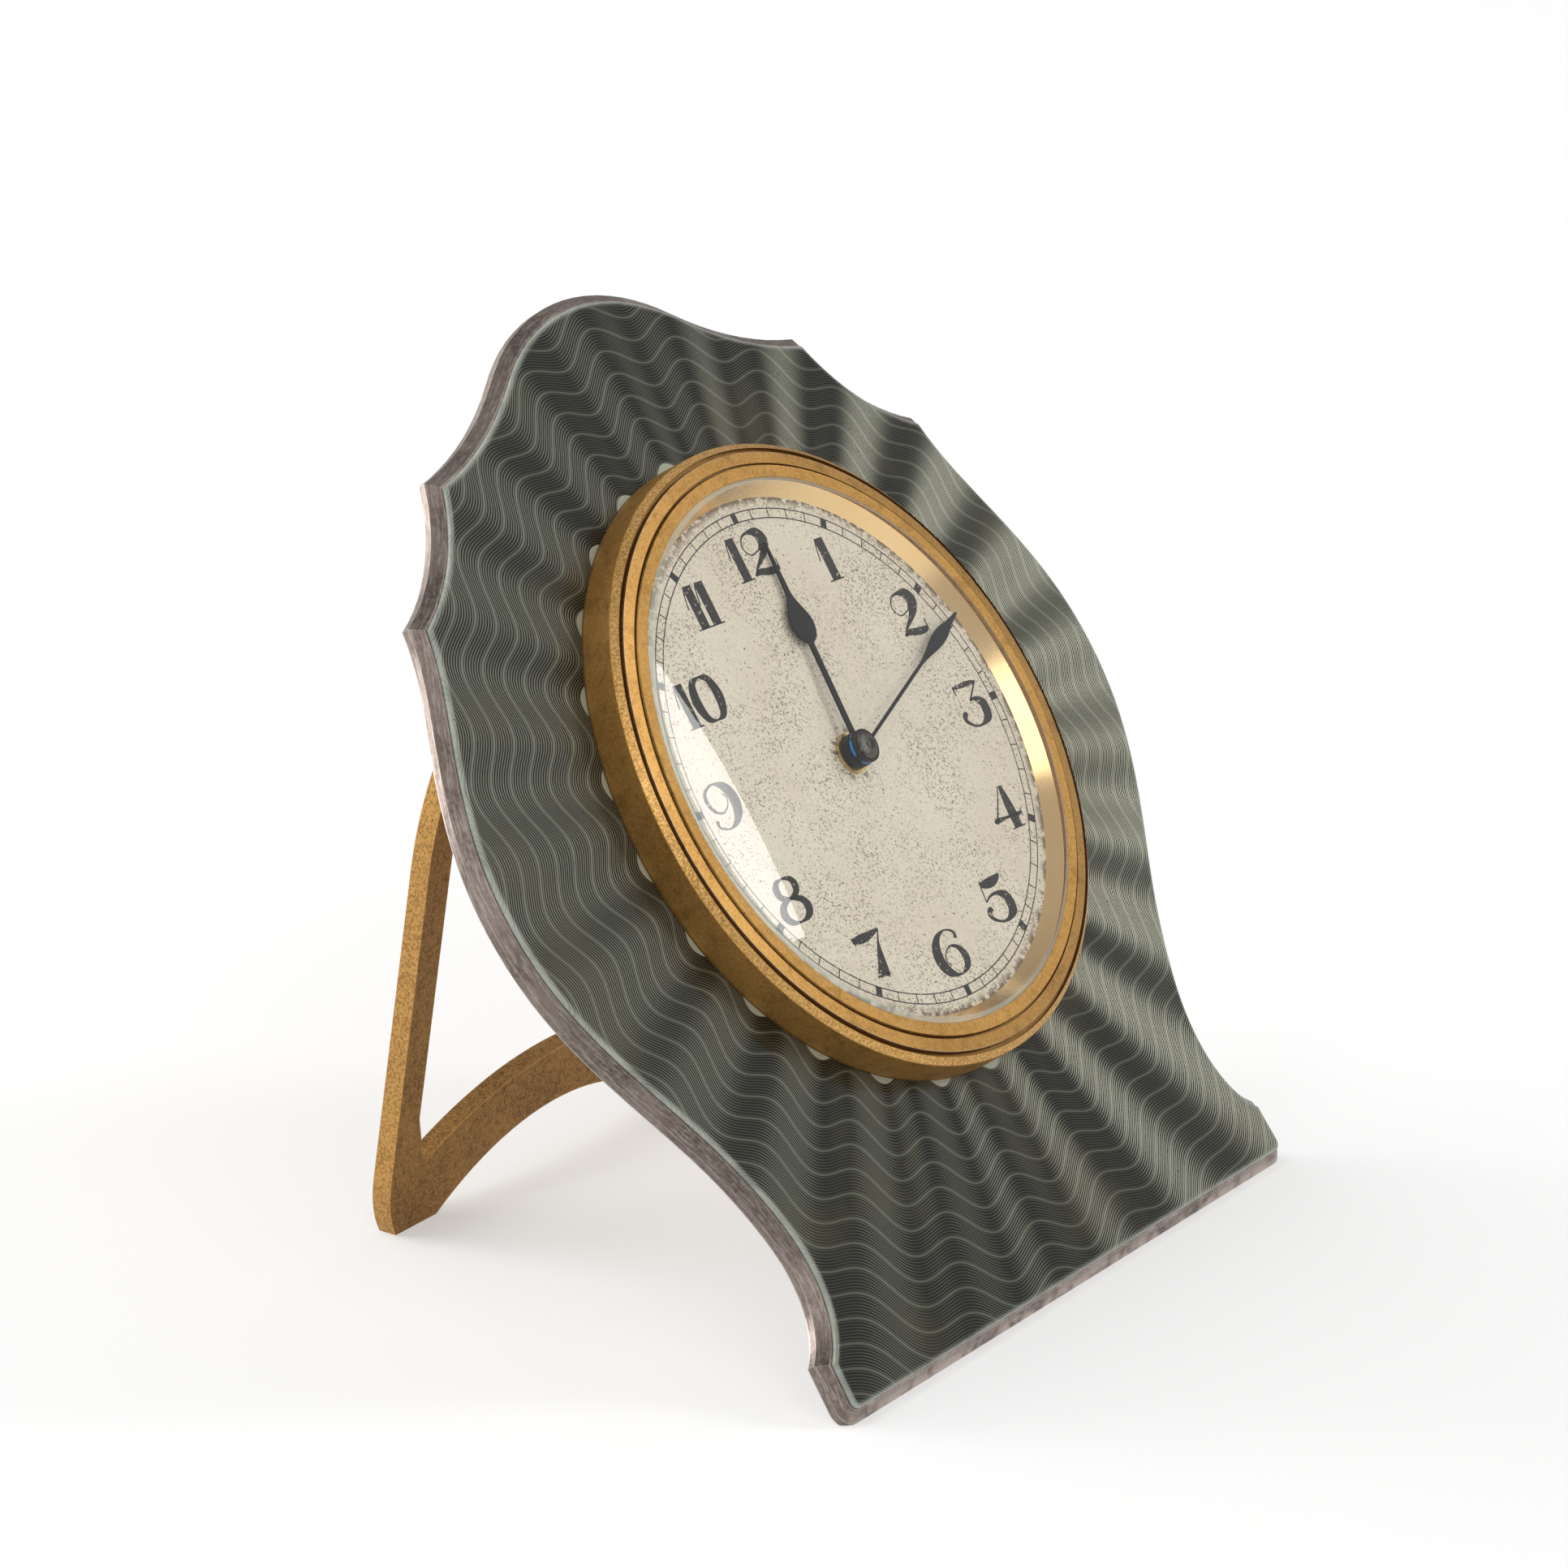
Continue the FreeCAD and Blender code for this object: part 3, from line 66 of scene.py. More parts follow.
# Silver plate, pierced for the drum and bevelled by hand all round its shaped edge.
# The bevel has tarnished to a warm brown and is rubbed bright where the plate stands.
class Field:
    def __init__(self, tree, socket):
        self.tree = tree
        self.socket = socket

    def make(self, kind, settings, inputs, output=0):
        node = self.tree.nodes.new(kind)
        for name, value in settings.items():
            setattr(node, name, value)
        for name, value in inputs.items():
            if isinstance(value, Field):
                self.tree.links.new(value.socket, node.inputs[name])
            else:
                node.inputs[name].default_value = value
        return Field(self.tree, node.outputs[output])

    def maths(self, operation, *values):
        return self.make("ShaderNodeMath", {"operation": operation}, dict(enumerate(values)))

    def __add__(self, other):
        return self.maths("ADD", self, other)

    def __sub__(self, other):
        return self.maths("SUBTRACT", self, other)

    def __rsub__(self, other):
        return self.maths("SUBTRACT", other, self)

    def __mul__(self, other):
        return self.maths("MULTIPLY", self, other)

    def __truediv__(self, other):
        return self.maths("DIVIDE", self, other)

    def __mod__(self, other):
        return self.maths("FLOORED_MODULO", self, other)

    def __pow__(self, other):
        return self.maths("POWER", self, other)

    __radd__ = __add__
    __rmul__ = __mul__

    def clear(self, low, high):
        return self.make(
            "ShaderNodeMapRange", {"interpolation_type": "SMOOTHSTEP", "clamp": True},
            {"Value": self, "From Min": low, "From Max": high})

    def between(self, low, high, blur):
        return self.clear(low - blur, low + blur) * (1 - self.clear(high - blur, high + blur))

    def vector_maths(self, operation, *values, output=0):
        return self.make(
            "ShaderNodeVectorMath", {"operation": operation}, dict(enumerate(values)), output)

    def dot(self, direction):
        return self.vector_maths("DOT_PRODUCT", self, direction, output=1)

    def along(self, direction):
        return self.make("ShaderNodeVectorMath", {"operation": "SCALE"}, {0: direction, "Scale": self})

    def tint(self, none, full):
        return self.make("ShaderNodeMix", {"data_type": "RGBA"}, {0: self, 6: none, 7: full}, 2)

    def noise(self, scale, detail=3, rough=0.55):
        return self.make("ShaderNodeTexNoise", {}, {
            "Vector": self, "Scale": scale, "Detail": detail, "Roughness": rough})

    def specks(self, scale, size):
        cell = self.make("ShaderNodeTexVoronoi", {}, {"Vector": self, "Scale": scale})
        return 1 - cell.clear(size * 0.6, size)

    def relief(self, depth, strength=1.0):
        return self.make("ShaderNodeBump", {}, {"Height": self, "Distance": depth * mm, "Strength": strength})

    def plate_place(self):
        offset = self.vector_maths("SUBTRACT", self, hub)
        across = offset.dot(across_dir / mm)
        up = offset.dot(up_dir / mm)
        out = offset.dot(out_dir / mm)
        radius = (across * across + up * up) ** 0.5
        angle = self.maths("ARCTAN2", across, up)
        return across, up, out, radius, angle

    def vector(self, x, y, z):
        return self.make("ShaderNodeCombineXYZ", {}, {0: x, 1: y, 2: z})

    def facing(self):
        return self.make("ShaderNodeNewGeometry", {}, {}, "Normal")

    def eased_facing(self, radius):
        return self.make("ShaderNodeBevel", {"samples": 6}, {"Radius": radius * mm})

    def worn_edge(self, radius, low, high):
        return (1 - self.eased_facing(radius).dot(self.facing())).clear(low, high)


def finish(name, paint, **fixed):
    material = bpy.data.materials.new(name)
    material.use_nodes = True
    tree = material.node_tree
    shader = tree.nodes["Principled BSDF"]
    for socket, value in fixed.items():
        shader.inputs[socket.replace("_", " ")].default_value = value
    here = Field(tree, tree.nodes.new("ShaderNodeTexCoord").outputs["Object"])
    for socket, field in paint(here).items():
        tree.links.new(field.socket, shader.inputs[socket])
    return material


def dress(material, *nodes):
    for name in nodes:
        mesh = frame["nodes"][name].data
        mesh.materials.clear()
        mesh.materials.append(material)


plate_foot = -46.9
foot_rubbed = 1.3
plate_back = -1.6


def tarnished_silver(here):
    _, up, out, radius, angle = here.plate_place()
    cloud = here.noise(160, 4)
    grain = here.noise(2600, 2)
    streak = here.vector(angle * 30, out * 9, radius * 0.8).noise(1, 3).clear(0.45, 0.7)
    pits = here.specks(1100, 0.10) * here.noise(300, 2).clear(0.5, 0.62)
    back = 1 - out.clear(plate_back, plate_back + 0.25)
    rubbed = (1 - up.clear(plate_foot, plate_foot + foot_rubbed)) * here.noise(500, 4).clear(0.34, 0.62)
    edge = here.worn_edge(0.25, 0.02, 0.14)
    brown = cloud.clear(0.35, 0.65).tint((0.115, 0.084, 0.071, 1), (0.225, 0.178, 0.155, 1))
    aged = (grain.clear(0.35, 0.7) * 0.4).tint(brown, (0.31, 0.26, 0.235, 1))
    silvery = here.maths("MAXIMUM", streak * 0.32, edge * 0.7).tint(aged, (0.60, 0.55, 0.51, 1))
    bright = (rubbed * 0.85).tint(silvery, (0.60, 0.51, 0.46, 1))
    rear = (back * 0.8).tint(bright, (0.55, 0.52, 0.50, 1))
    colour = (pits * 0.7).tint(rear, (0.07, 0.05, 0.04, 1))
    return {
        "Base Color": colour,
        "Roughness": 0.32 + cloud * 0.25,
        "Normal": (cloud + grain * 0.3).relief(0.02, 0.3),
    }


dress(finish("tarnished_silver", tarnished_silver, Metallic=1.0), "silver_plate")

# Translucent grey-green enamel, fired over silver that was engine turned with waves about the bezel.
# Its edge is drawn into a soft pillow, and the glassy surface shows the engraving below.
wave_count = 24
wave_first_deg = 5.5
wave_half = 1.0
band_pitch = 2.07
band_crowd = 0.17
band_start = 35.45
cuts_in_band = 8
cut_tilt = 0.22
ground_r = 27.1
sheen_turn_deg = 12
edge_wide = 0.9


def engine_turned(here):
    across, up, _, radius, angle = here.plate_place()
    swing = (angle - math.radians(wave_first_deg)) * wave_count
    line = radius + here.maths("COSINE", swing) * wave_half
    slope = here.maths("SINE", swing) * (-wave_half * wave_count) / radius
    band = (line - band_start) / (band_pitch - across / radius * band_crowd) % 1
    cut = (band * cuts_in_band) % 1
    from_line = here.maths("ABSOLUTE", (band + 0.5) % 1 - 0.5)
    bright_line = 1 - from_line.clear(0.030, 0.080)
    ridge = here.maths("ABSOLUTE", cut * 2 - 1)
    plain = 1 - line.clear(ground_r - 0.06, ground_r + 0.06)
    # Painted sheen: grooves that run up the plate are painted lighter, as if they catch the light, and those
    # that run across it are painted dark
    steep = (slope * slope + 1) ** 0.5
    lay_across = (across + slope * up) / radius / steep
    lay_up = (up - slope * across) / radius / steep
    sheen_turn = math.radians(sheen_turn_deg)
    side = lay_across * math.cos(sheen_turn) - lay_up * math.sin(sheen_turn)
    painted_sheen = side * side * (0.63 + side * 0.37)
    surface = here.facing()
    pillow = 1 - here.eased_facing(edge_wide).dot(out_dir).clear(0.78, 0.98)
    milky = pillow * (0.35 + here.noise(330, 3) * 0.9)
    rounded = 1 - surface.dot(out_dir).clear(0.80, 0.985)
    # The cut, groove and crest colours all carry the painted sheen
    deep = painted_sheen.tint((0.002, 0.0022, 0.0014, 1), (0.012, 0.0125, 0.008, 1))
    pale = painted_sheen.tint((0.040, 0.042, 0.030, 1), (0.58, 0.585, 0.465, 1))
    cuts = ridge.clear(0.28, 0.90).tint(deep, pale)
    crest = painted_sheen.tint((0.082, 0.087, 0.065, 1), (0.42, 0.43, 0.345, 1))
    lines = bright_line.tint(cuts, crest)
    ground = plain.tint(lines, (0.40, 0.42, 0.34, 1))
    mottle = here.noise(110, 3).clear(0.5, 0.72) * 0.14
    stained = mottle.tint(ground, (0.16, 0.13, 0.06, 1))
    edged = (milky.clear(0.10, 1.0) * 0.8).tint(stained, (0.50, 0.53, 0.46, 1))
    dust = here.specks(620, 0.045)
    colour = dust.tint(edged, (0.02, 0.02, 0.018, 1))
    tilt = (cut - 0.5) * (2 * cut_tilt) * (1 - plain) * (1 - rounded)
    tilted = here.vector_maths(
        "ADD", (lay_across * tilt).along(across_dir), (lay_up * tilt).along(up_dir))
    return {
        "Base Color": colour,
        "Metallic": 0.30 - rounded * 0.25,
        "Roughness": 0.42 + mottle * 0.3,
        "Normal": here.vector_maths("NORMALIZE", here.vector_maths("ADD", surface, tilted)),
    }


enamel_finish = finish("green_enamel", engine_turned, Specular_IOR_Level=0.08,
                       Coat_Weight=0.55, Coat_Roughness=0.03, Coat_IOR=1.45)
dress(enamel_finish, "enamel")


# Drum case of gilt brass with its ring nut, snap-on rear cover, setting knob and winding key.
# The drum passes through the plate. Its flange lies in front, and the ring nut draws it tight from behind.
def case_gilding(here):
    _, _, out, radius, angle = here.plate_place()
    turning = here.vector(radius * 0.02, angle * 0.4, out * 0.02).noise(900, 2)
    cloud = here.noise(160, 3)
    base = cloud.clear(0.1, 0.9).tint((0.52, 0.33, 0.11, 1), (0.66, 0.44, 0.16, 1))
    colour = here.specks(700, 0.12).tint(base, (0.16, 0.09, 0.04, 1))
    return {
        "Base Color": colour,
        "Roughness": 0.26 + turning * 0.22,
        "Normal": turning.relief(0.012, 0.6),
    }


dress(finish("case_gilding", case_gilding, Metallic=1.0),
      "drum_case", "ring_nut", "rear_cover", "setting_knob", "winding_key")


# Movement plates, pillars, barrel, wheels and lever cock of yellow brass, closed in by the drum.
# They are grained straight and left bright. The seat of the hands is of the same brass.
def movement_brass(here):
    grain = here.vector(here.dot(across_dir), here.dot(up_dir) * 0.04, here.dot(out_dir)).noise(4000, 2)
    cloud = here.noise(200, 2)
    return {
        "Base Color": cloud.tint((0.62, 0.46, 0.20, 1), (0.78, 0.60, 0.28, 1)),
        "Roughness": 0.24 + grain * 0.2,
        "Normal": grain.relief(0.006, 0.5),
    }


dress(finish("movement_brass", movement_brass, Metallic=1.0),
      "main_plate", "back_plate", "pillars", "lever_cock", "barrel", "barrel_cover", "great_wheel",
      "centre_wheel", "third_wheel", "fourth_wheel", "balance_wheel", "minute_wheel", "hour_wheel",
      "hand_collet")


# Winding arbor, cannon pinion, ratchet, click, escape wheel, lever, studs and screws of polished steel.
# So are the regulator and the hinge pin. Mainspring and hairspring are blued by heat.
def bright_steel(here):
    grain = here.noise(3000, 2)
    return {
        "Base Color": here.noise(400, 3).tint((0.40, 0.40, 0.41, 1), (0.62, 0.61, 0.60, 1)),
        "Roughness": 0.18 + grain * 0.2,
        "Normal": grain.relief(0.006, 0.4),
    }


dress(finish("bright_steel", bright_steel, Metallic=1.0),
      "pillar_screws", "case_screws", "winding_arbor", "ratchet_wheel", "click", "escape_wheel",
      "pallet_lever", "regulator", "cannon_pinion", "minute_stud", "hairspring_stud", "hinge_pin",
      "hinge_screws")


def blued_spring(here):
    heat = here.noise(300, 3)
    return {
        "Base Color": heat.tint((0.03, 0.06, 0.22, 1), (0.07, 0.05, 0.14, 1)),
        "Roughness": 0.2 + heat * 0.15,
    }


dress(finish("blued_spring", blued_spring, Metallic=1.0), "mainspring", "hairspring")


# Dial: a thin metal disc with matt cream paint, speckled brown and black by damp and worn at its edge.
# It lies on the case flange, turned a little to the right.
dial_turn_deg = 2.1
dial_paint_r = 22.9
dial_worn_r = 21.9


def speckled_cream(here):
    across, up, _, radius, _ = here.plate_place()
    cloud = here.noise(90, 4)
    patch = here.noise(170, 3).clear(0.36, 0.64)
    dash_one = here.vector(across * 6.6 + up * 1.1, up * 3.3, 0.3).noise(1, 2, 0.6).clear(0.575, 0.64)
    dash_two = here.vector(across * 3.0 - up * 0.9, up * 6.2, 7.7).noise(1, 2, 0.6).clear(0.585, 0.65)
    flecks = here.maths("MAXIMUM", dash_one, dash_two) * (0.25 + patch * 0.75)
    pin_dots = here.specks(2000, 0.19) * here.noise(650, 2).clear(0.44, 0.53)
    drops = here.specks(700, 0.09) * here.noise(260, 2).clear(0.46, 0.56)
    foxing = here.noise(600, 4).clear(0.60, 0.78) * 0.30
    rubbed = radius.clear(dial_worn_r, dial_paint_r) * here.noise(1200, 4).clear(0.42, 0.55)
    around_hub = (1 - radius.clear(1.6, 3.0)) * here.noise(1400, 4).clear(0.48, 0.62)
    cream = cloud.clear(0.3, 0.7).tint((0.80, 0.715, 0.575, 1), (0.87, 0.795, 0.66, 1))
    foxed = foxing.tint(cream, (0.52, 0.41, 0.27, 1))
    flecked = (flecks * 0.85).tint(foxed, (0.20, 0.145, 0.09, 1))
    dotted = (pin_dots * 0.85).tint(flecked, (0.07, 0.05, 0.035, 1))
    spotted = (drops * 0.85).tint(dotted, (0.05, 0.035, 0.025, 1))
    edged = rubbed.tint(spotted, (0.16, 0.10, 0.055, 1))
    colour = around_hub.tint(edged, (0.12, 0.085, 0.055, 1))
    return {
        "Base Color": colour,
        "Roughness": 0.62 - flecks * 0.15,
        "Normal": (cloud * 2 - flecks * 0.5).relief(0.02, 0.35),
    }


dress(finish("speckled_cream", speckled_cream), "dial")

# Numerals: printed in black ink with fat and hair strokes, upright round the dial.
# Each stroke is a run of points, as across, up and width in shares of the numeral's height.
ink_low = 2.945
ink_high = 2.965
numeral_high = 3.9
numeral_reach = 18.1
long_numeral_reach = 16.9
stroke_steps = 7
hair = 0.028
fat = 0.25
ink_spread = 1.14

strokes = {
    "1": [
        [(0.0, 0.99, fat), (0.0, 0.5, fat), (0.0, 0.01, fat)],
        [(-0.10, 0.99, hair), (-0.17, 0.86, hair), (-0.24, 0.60, hair), (-0.26, 0.50, hair)],
        [(-0.25, 0.015, hair), (0.25, 0.015, hair)],
    ],
    "2": [
        [(0.17, 0.60, hair), (0.0, 0.54, hair), (-0.22, 0.50, hair), (-0.38, 0.62, hair),
         (-0.40, 0.78, hair), (-0.26, 0.94, 0.04), (-0.02, 0.985, 0.07), (0.24, 0.93, 0.20),
         (0.35, 0.75, 0.27), (0.25, 0.56, 0.21), (0.04, 0.38, 0.12), (-0.22, 0.22, 0.06),
         (-0.40, 0.05, 0.05)],
        [(-0.06, 0.97, hair), (0.13, 0.86, hair), (0.16, 0.68, hair), (0.05, 0.54, hair)],
        [(-0.42, 0.06, 0.03), (-0.22, 0.10, 0.12), (0.06, 0.06, 0.15), (0.34, 0.05, 0.13),
         (0.46, 0.10, 0.06)],
        [(0.455, 0.02, hair), (0.46, 0.14, hair), (0.46, 0.27, hair)],
    ],
    "3": [
        [(-0.36, 0.78, hair), (-0.37, 0.90, 0.04), (-0.36, 1.0, hair)],
        [(-0.37, 0.955, 0.05), (-0.1, 0.955, 0.09), (0.25, 0.95, 0.10), (0.47, 0.93, 0.05)],
        [(0.45, 0.93, 0.04), (0.24, 0.76, 0.04), (0.02, 0.58, 0.04)],
        [(0.00, 0.585, 0.03), (0.20, 0.585, 0.09), (0.40, 0.42, 0.24), (0.36, 0.16, 0.23),
         (0.10, 0.02, 0.07), (-0.18, 0.03, 0.05), (-0.40, 0.17, 0.09), (-0.42, 0.28, 0.13),
         (-0.34, 0.35, 0.10), (-0.29, 0.30, 0.04)],
    ],
    "4": [
        [(0.20, 0.985, 0.10), (0.20, 0.5, fat), (0.20, 0.015, fat)],
        [(0.12, 0.985, hair), (-0.10, 0.68, hair), (-0.45, 0.26, 0.05)],
        [(-0.53, 0.285, 0.05), (-0.40, 0.30, 0.11), (-0.12, 0.30, 0.06), (0.20, 0.29, 0.07),
         (0.40, 0.28, 0.08), (0.51, 0.30, 0.04)],
        [(0.50, 0.20, hair), (0.515, 0.38, hair)],
        [(-0.02, 0.015, hair), (0.44, 0.015, hair)],
    ],
    "5": [
        [(-0.36, 0.52, hair), (-0.33, 0.75, hair), (-0.29, 1.0, hair)],
        [(-0.30, 0.90, 0.10), (-0.06, 0.88, 0.19), (0.22, 0.90, 0.18), (0.46, 0.975, 0.05)],
        [(-0.36, 0.52, hair), (-0.16, 0.61, 0.05), (0.10, 0.62, 0.08), (0.36, 0.48, 0.22),
         (0.38, 0.20, 0.25), (0.14, 0.03, 0.10), (-0.14, 0.02, 0.05), (-0.38, 0.14, 0.08),
         (-0.44, 0.27, 0.13), (-0.34, 0.36, 0.10), (-0.28, 0.30, 0.04)],
    ],
    "6": [
        [(0.42, 0.74, 0.10), (0.44, 0.86, 0.07), (0.32, 0.95, 0.04), (0.10, 0.985, 0.04),
         (-0.18, 0.88, 0.14), (-0.36, 0.66, 0.25), (-0.40, 0.40, 0.28), (-0.28, 0.16, 0.22),
         (-0.04, 0.02, 0.06), (0.18, 0.02, 0.06), (0.40, 0.14, 0.16), (0.46, 0.34, 0.20),
         (0.34, 0.55, 0.10), (0.12, 0.63, 0.04), (-0.10, 0.54, hair), (-0.20, 0.38, hair),
         (-0.12, 0.24, hair)],
    ],
    "7": [
        [(-0.50, 0.99, 0.03), (-0.46, 0.90, 0.05), (-0.44, 0.80, 0.03)],
        [(-0.48, 0.92, 0.10), (-0.20, 0.90, 0.18), (0.10, 0.91, 0.15), (0.46, 0.96, 0.05)],
        [(0.47, 0.96, 0.03), (0.30, 0.72, 0.05), (0.18, 0.46, 0.16), (0.08, 0.20, 0.26),
         (-0.01, 0.03, 0.34)],
        [(-0.24, 0.03, 0.05), (-0.02, 0.03, 0.06), (0.20, 0.03, 0.05)],
    ],
    "8": [
        [(0.0, 0.545, 0.05), (-0.26, 0.62, 0.14), (-0.32, 0.78, 0.20), (-0.22, 0.93, 0.12),
         (0.0, 0.985, 0.04), (0.24, 0.93, 0.12), (0.33, 0.78, 0.20), (0.24, 0.62, 0.13),
         (0.0, 0.545, 0.05)],
        [(0.0, 0.545, 0.05), (-0.30, 0.46, 0.14), (-0.42, 0.27, 0.22), (-0.30, 0.09, 0.14),
         (0.0, 0.02, 0.04), (0.30, 0.09, 0.14), (0.42, 0.27, 0.22), (0.30, 0.46, 0.14),
         (0.0, 0.545, 0.05)],
    ],
    "9": [
        [(-0.42, 0.26, 0.10), (-0.44, 0.14, 0.07), (-0.32, 0.05, 0.04), (-0.10, 0.015, 0.04),
         (0.18, 0.12, 0.14), (0.36, 0.34, 0.25), (0.40, 0.60, 0.28), (0.28, 0.84, 0.22),
         (0.04, 0.98, 0.06), (-0.18, 0.98, 0.05), (-0.40, 0.86, 0.08), (-0.46, 0.66, 0.10),
         (-0.34, 0.45, 0.06), (-0.12, 0.37, 0.04), (0.10, 0.46, hair), (0.20, 0.62, hair),
         (0.12, 0.76, hair)],
    ],
    "0": [
        [(0.0, 0.985, 0.035), (-0.27, 0.88, 0.17), (-0.38, 0.5, 0.25), (-0.27, 0.12, 0.17),
         (0.0, 0.015, 0.035), (0.27, 0.12, 0.17), (0.38, 0.5, 0.25), (0.27, 0.88, 0.17),
         (0.0, 0.985, 0.035)],
    ],
}
digit_wide = {"1": 0.42, "2": 1.02, "3": 1.0, "4": 1.08, "5": 1.0, "6": 1.05, "7": 1.04, "8": 0.95,
              "9": 1.05, "0": 1.05}


def smooth_run(points, steps):
    ends = [points[0]] + list(points) + [points[-1]]
    run = []
    for index in range(1, len(ends) - 2):
        before, start, end, after = ends[index - 1:index + 3]
        for step in range(steps):
            t = step / steps
            run.append(tuple(
                0.5 * (2 * b + (c - a) * t + (2 * a - 5 * b + 4 * c - d) * t ** 2
                       + (3 * b - a - 3 * c + d) * t ** 3)
                for a, b, c, d in zip(before, start, end, after)))
    run.append(points[-1])
    return run


def ribbon(run):
    left, right = [], []
    for index, (x, y, wide) in enumerate(run):
        x0, y0 = run[max(index - 1, 0)][:2]
        x1, y1 = run[min(index + 1, len(run) - 1)][:2]
        long = math.hypot(x1 - x0, y1 - y0) or 1
        half = wide * ink_spread / 2
        side = ((y0 - y1) / long * half, (x1 - x0) / long * half)
        left.append((x + side[0], y + side[1]))
        right.append((x - side[0], y - side[1]))
    return left, right


def printed(name, bands, place):
    vertices, faces = [], []
    for left, right in bands:
        first = len(vertices)
        count = len(left)
        for height in (ink_low, ink_high):
            for x, y in left + right:
                px, py = place(x, y)
                vertices.append(on_plate(px, py, height))
        top = first + 2 * count
        for index in range(count - 1):
            a, b = index, index + 1
            c, d = count + index + 1, count + index
            faces.append((first + d, first + c, first + b, first + a))
            faces.append((top + a, top + b, top + c, top + d))
            faces.append((first + a, first + b, top + b, top + a))
            faces.append((first + c, first + d, top + d, top + c))
        for a, d in ((0, count), (count - 1, 2 * count - 1)):
            ends = (first + a, first + d, top + d, top + a)
            faces.append(ends if a else ends[::-1])
    mesh = bpy.data.meshes.new(name)
    mesh.from_pydata(vertices, [], faces)
    piece = bpy.data.objects.new(name, mesh)
    bpy.context.scene.collection.objects.link(piece)
    mesh.validate()
    return piece


def worn_ink(here):
    chip = here.noise(2900, 3).clear(0.63, 0.68)
    return {
        "Base Color": (chip * 0.8).tint((0.010, 0.009, 0.009, 1), (0.55, 0.48, 0.38, 1)),
        "Roughness": 0.55 + chip * 0.2,
    }


ink = finish("worn_ink", worn_ink)
dial_turn = math.radians(dial_turn_deg)


def turned_dial(x, y):
    cos, sin = math.cos(dial_turn), math.sin(dial_turn)
    return x * cos + y * sin, y * cos - x * sin


for hour in range(1, 13):
    digits = str(hour)
    wide = sum(digit_wide[digit] for digit in digits)
    reach = long_numeral_reach if hour == 10 else numeral_reach
    middle_x = reach * math.sin(math.radians(30 * hour))
    middle_y = reach * math.cos(math.radians(30 * hour))
    bands = []
    start = -wide / 2
    for digit in digits:
        centre = start + digit_wide[digit] / 2
        start += digit_wide[digit]
        for stroke in strokes[digit]:
            bands.append([
                [(middle_x + (x + centre) * numeral_high, middle_y + (y - 0.5) * numeral_high)
                 for x, y in edge]
                for edge in ribbon(smooth_run(stroke, stroke_steps))])
    numeral = printed("numeral_" + digits, bands, turned_dial)
    numeral.data.materials.append(ink)
    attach(numeral, "clock_body")

# Minute ring: two hair circles joined by a line at each minute and a block at each hour.
# It is printed with the numerals.
track_in_r = 21.0
track_out_r = 21.84
track_line = 0.095
track_block = 0.68
circle_steps = 180


def ring_band(radius, wide):
    turns = [2 * math.pi * step / circle_steps for step in range(circle_steps + 1)]
    return (
        [((radius + wide / 2) * math.sin(t), (radius + wide / 2) * math.cos(t)) for t in turns],
        [((radius - wide / 2) * math.sin(t), (radius - wide / 2) * math.cos(t)) for t in turns])


track_bands = [ring_band(track_in_r, track_line), ring_band(track_out_r, track_line)]
for minute in range(60):
    turn = math.radians(6 * minute)
    wide = track_line if minute % 5 else track_block
    edges = []
    for side in (-wide / 2, wide / 2):
        edges.append([
            (radius * math.sin(turn) + side * math.cos(turn), radius * math.cos(turn) - side * math.sin(turn))
            for radius in (track_in_r, track_out_r)])
    track_bands.append((edges[0], edges[1]))
minute_ring = printed("minute_ring", track_bands, turned_dial)
minute_ring.data.materials.append(ink)
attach(minute_ring, "clock_body")


# Hands of blued steel, gone nearly black, on a brass seat; a domed cap closes the hub.
# The hour hand has a pear-shaped swelling, the minute hand a slim leaf.
collar_in_r = 1.40
collar_out_r = 1.52
collar_low = 4.23
collar_high = 4.49


def old_blueing(here):
    _, _, out, radius, _ = here.plate_place()
    rust = here.noise(2200, 4).clear(0.54, 0.68)
    blue = here.noise(260, 2).clear(0.45, 0.65)
    # Painted glints: small pale blue specks on the dark steel
    glint = here.specks(3200, 0.12)
    base = blue.tint((0.006, 0.006, 0.007, 1), (0.007, 0.011, 0.020, 1))
    rusty = (rust * 0.6).tint(base, (0.030, 0.024, 0.020, 1))
    glint_specked = (glint * 0.5).tint(rusty, (0.10, 0.14, 0.20, 1))
    collar = radius.between(collar_in_r, collar_out_r, 0.02) * out.between(collar_low, collar_high, 0.03)
    patchy = collar * here.noise(900, 2).clear(0.40, 0.50)
    return {
        "Base Color": patchy.tint(glint_specked, (0.02, 0.22, 0.62, 1)),
        "Roughness": 0.34 + rust * 0.3,
        "Normal": here.noise(3000, 3).relief(0.015, 0.5),
    }


dress(finish("old_blueing", old_blueing, Specular_IOR_Level=0.25), "hour_hand", "minute_hand")


def dulled_cap(here):
    _, _, _, radius, angle = here.plate_place()
    rings = here.vector(radius * 14, angle * 0.6, 0.5).noise(1, 2)
    grime = here.noise(1500, 3).clear(0.45, 0.62)
    return {
        "Base Color": grime.tint((0.115, 0.105, 0.09, 1), (0.035, 0.032, 0.030, 1)),
        "Roughness": 0.26 + rings * 0.25,
        "Normal": rings.relief(0.01, 0.6),
    }


dress(finish("dulled_cap", dulled_cap, Metallic=0.9), "hand_cap")


# Reflector ring between dial and glass, a polished gilt cone.
# It throws light on the dial's edge.
def polished_gilding(here):
    cloud = here.noise(220, 3)
    return {
        "Base Color": cloud.tint((0.92, 0.60, 0.26, 1), (0.98, 0.72, 0.40, 1)),
        "Roughness": 0.10 + cloud * 0.12,
    }


dress(finish("polished_gilding", polished_gilding, Metallic=1.0), "reflector_ring")


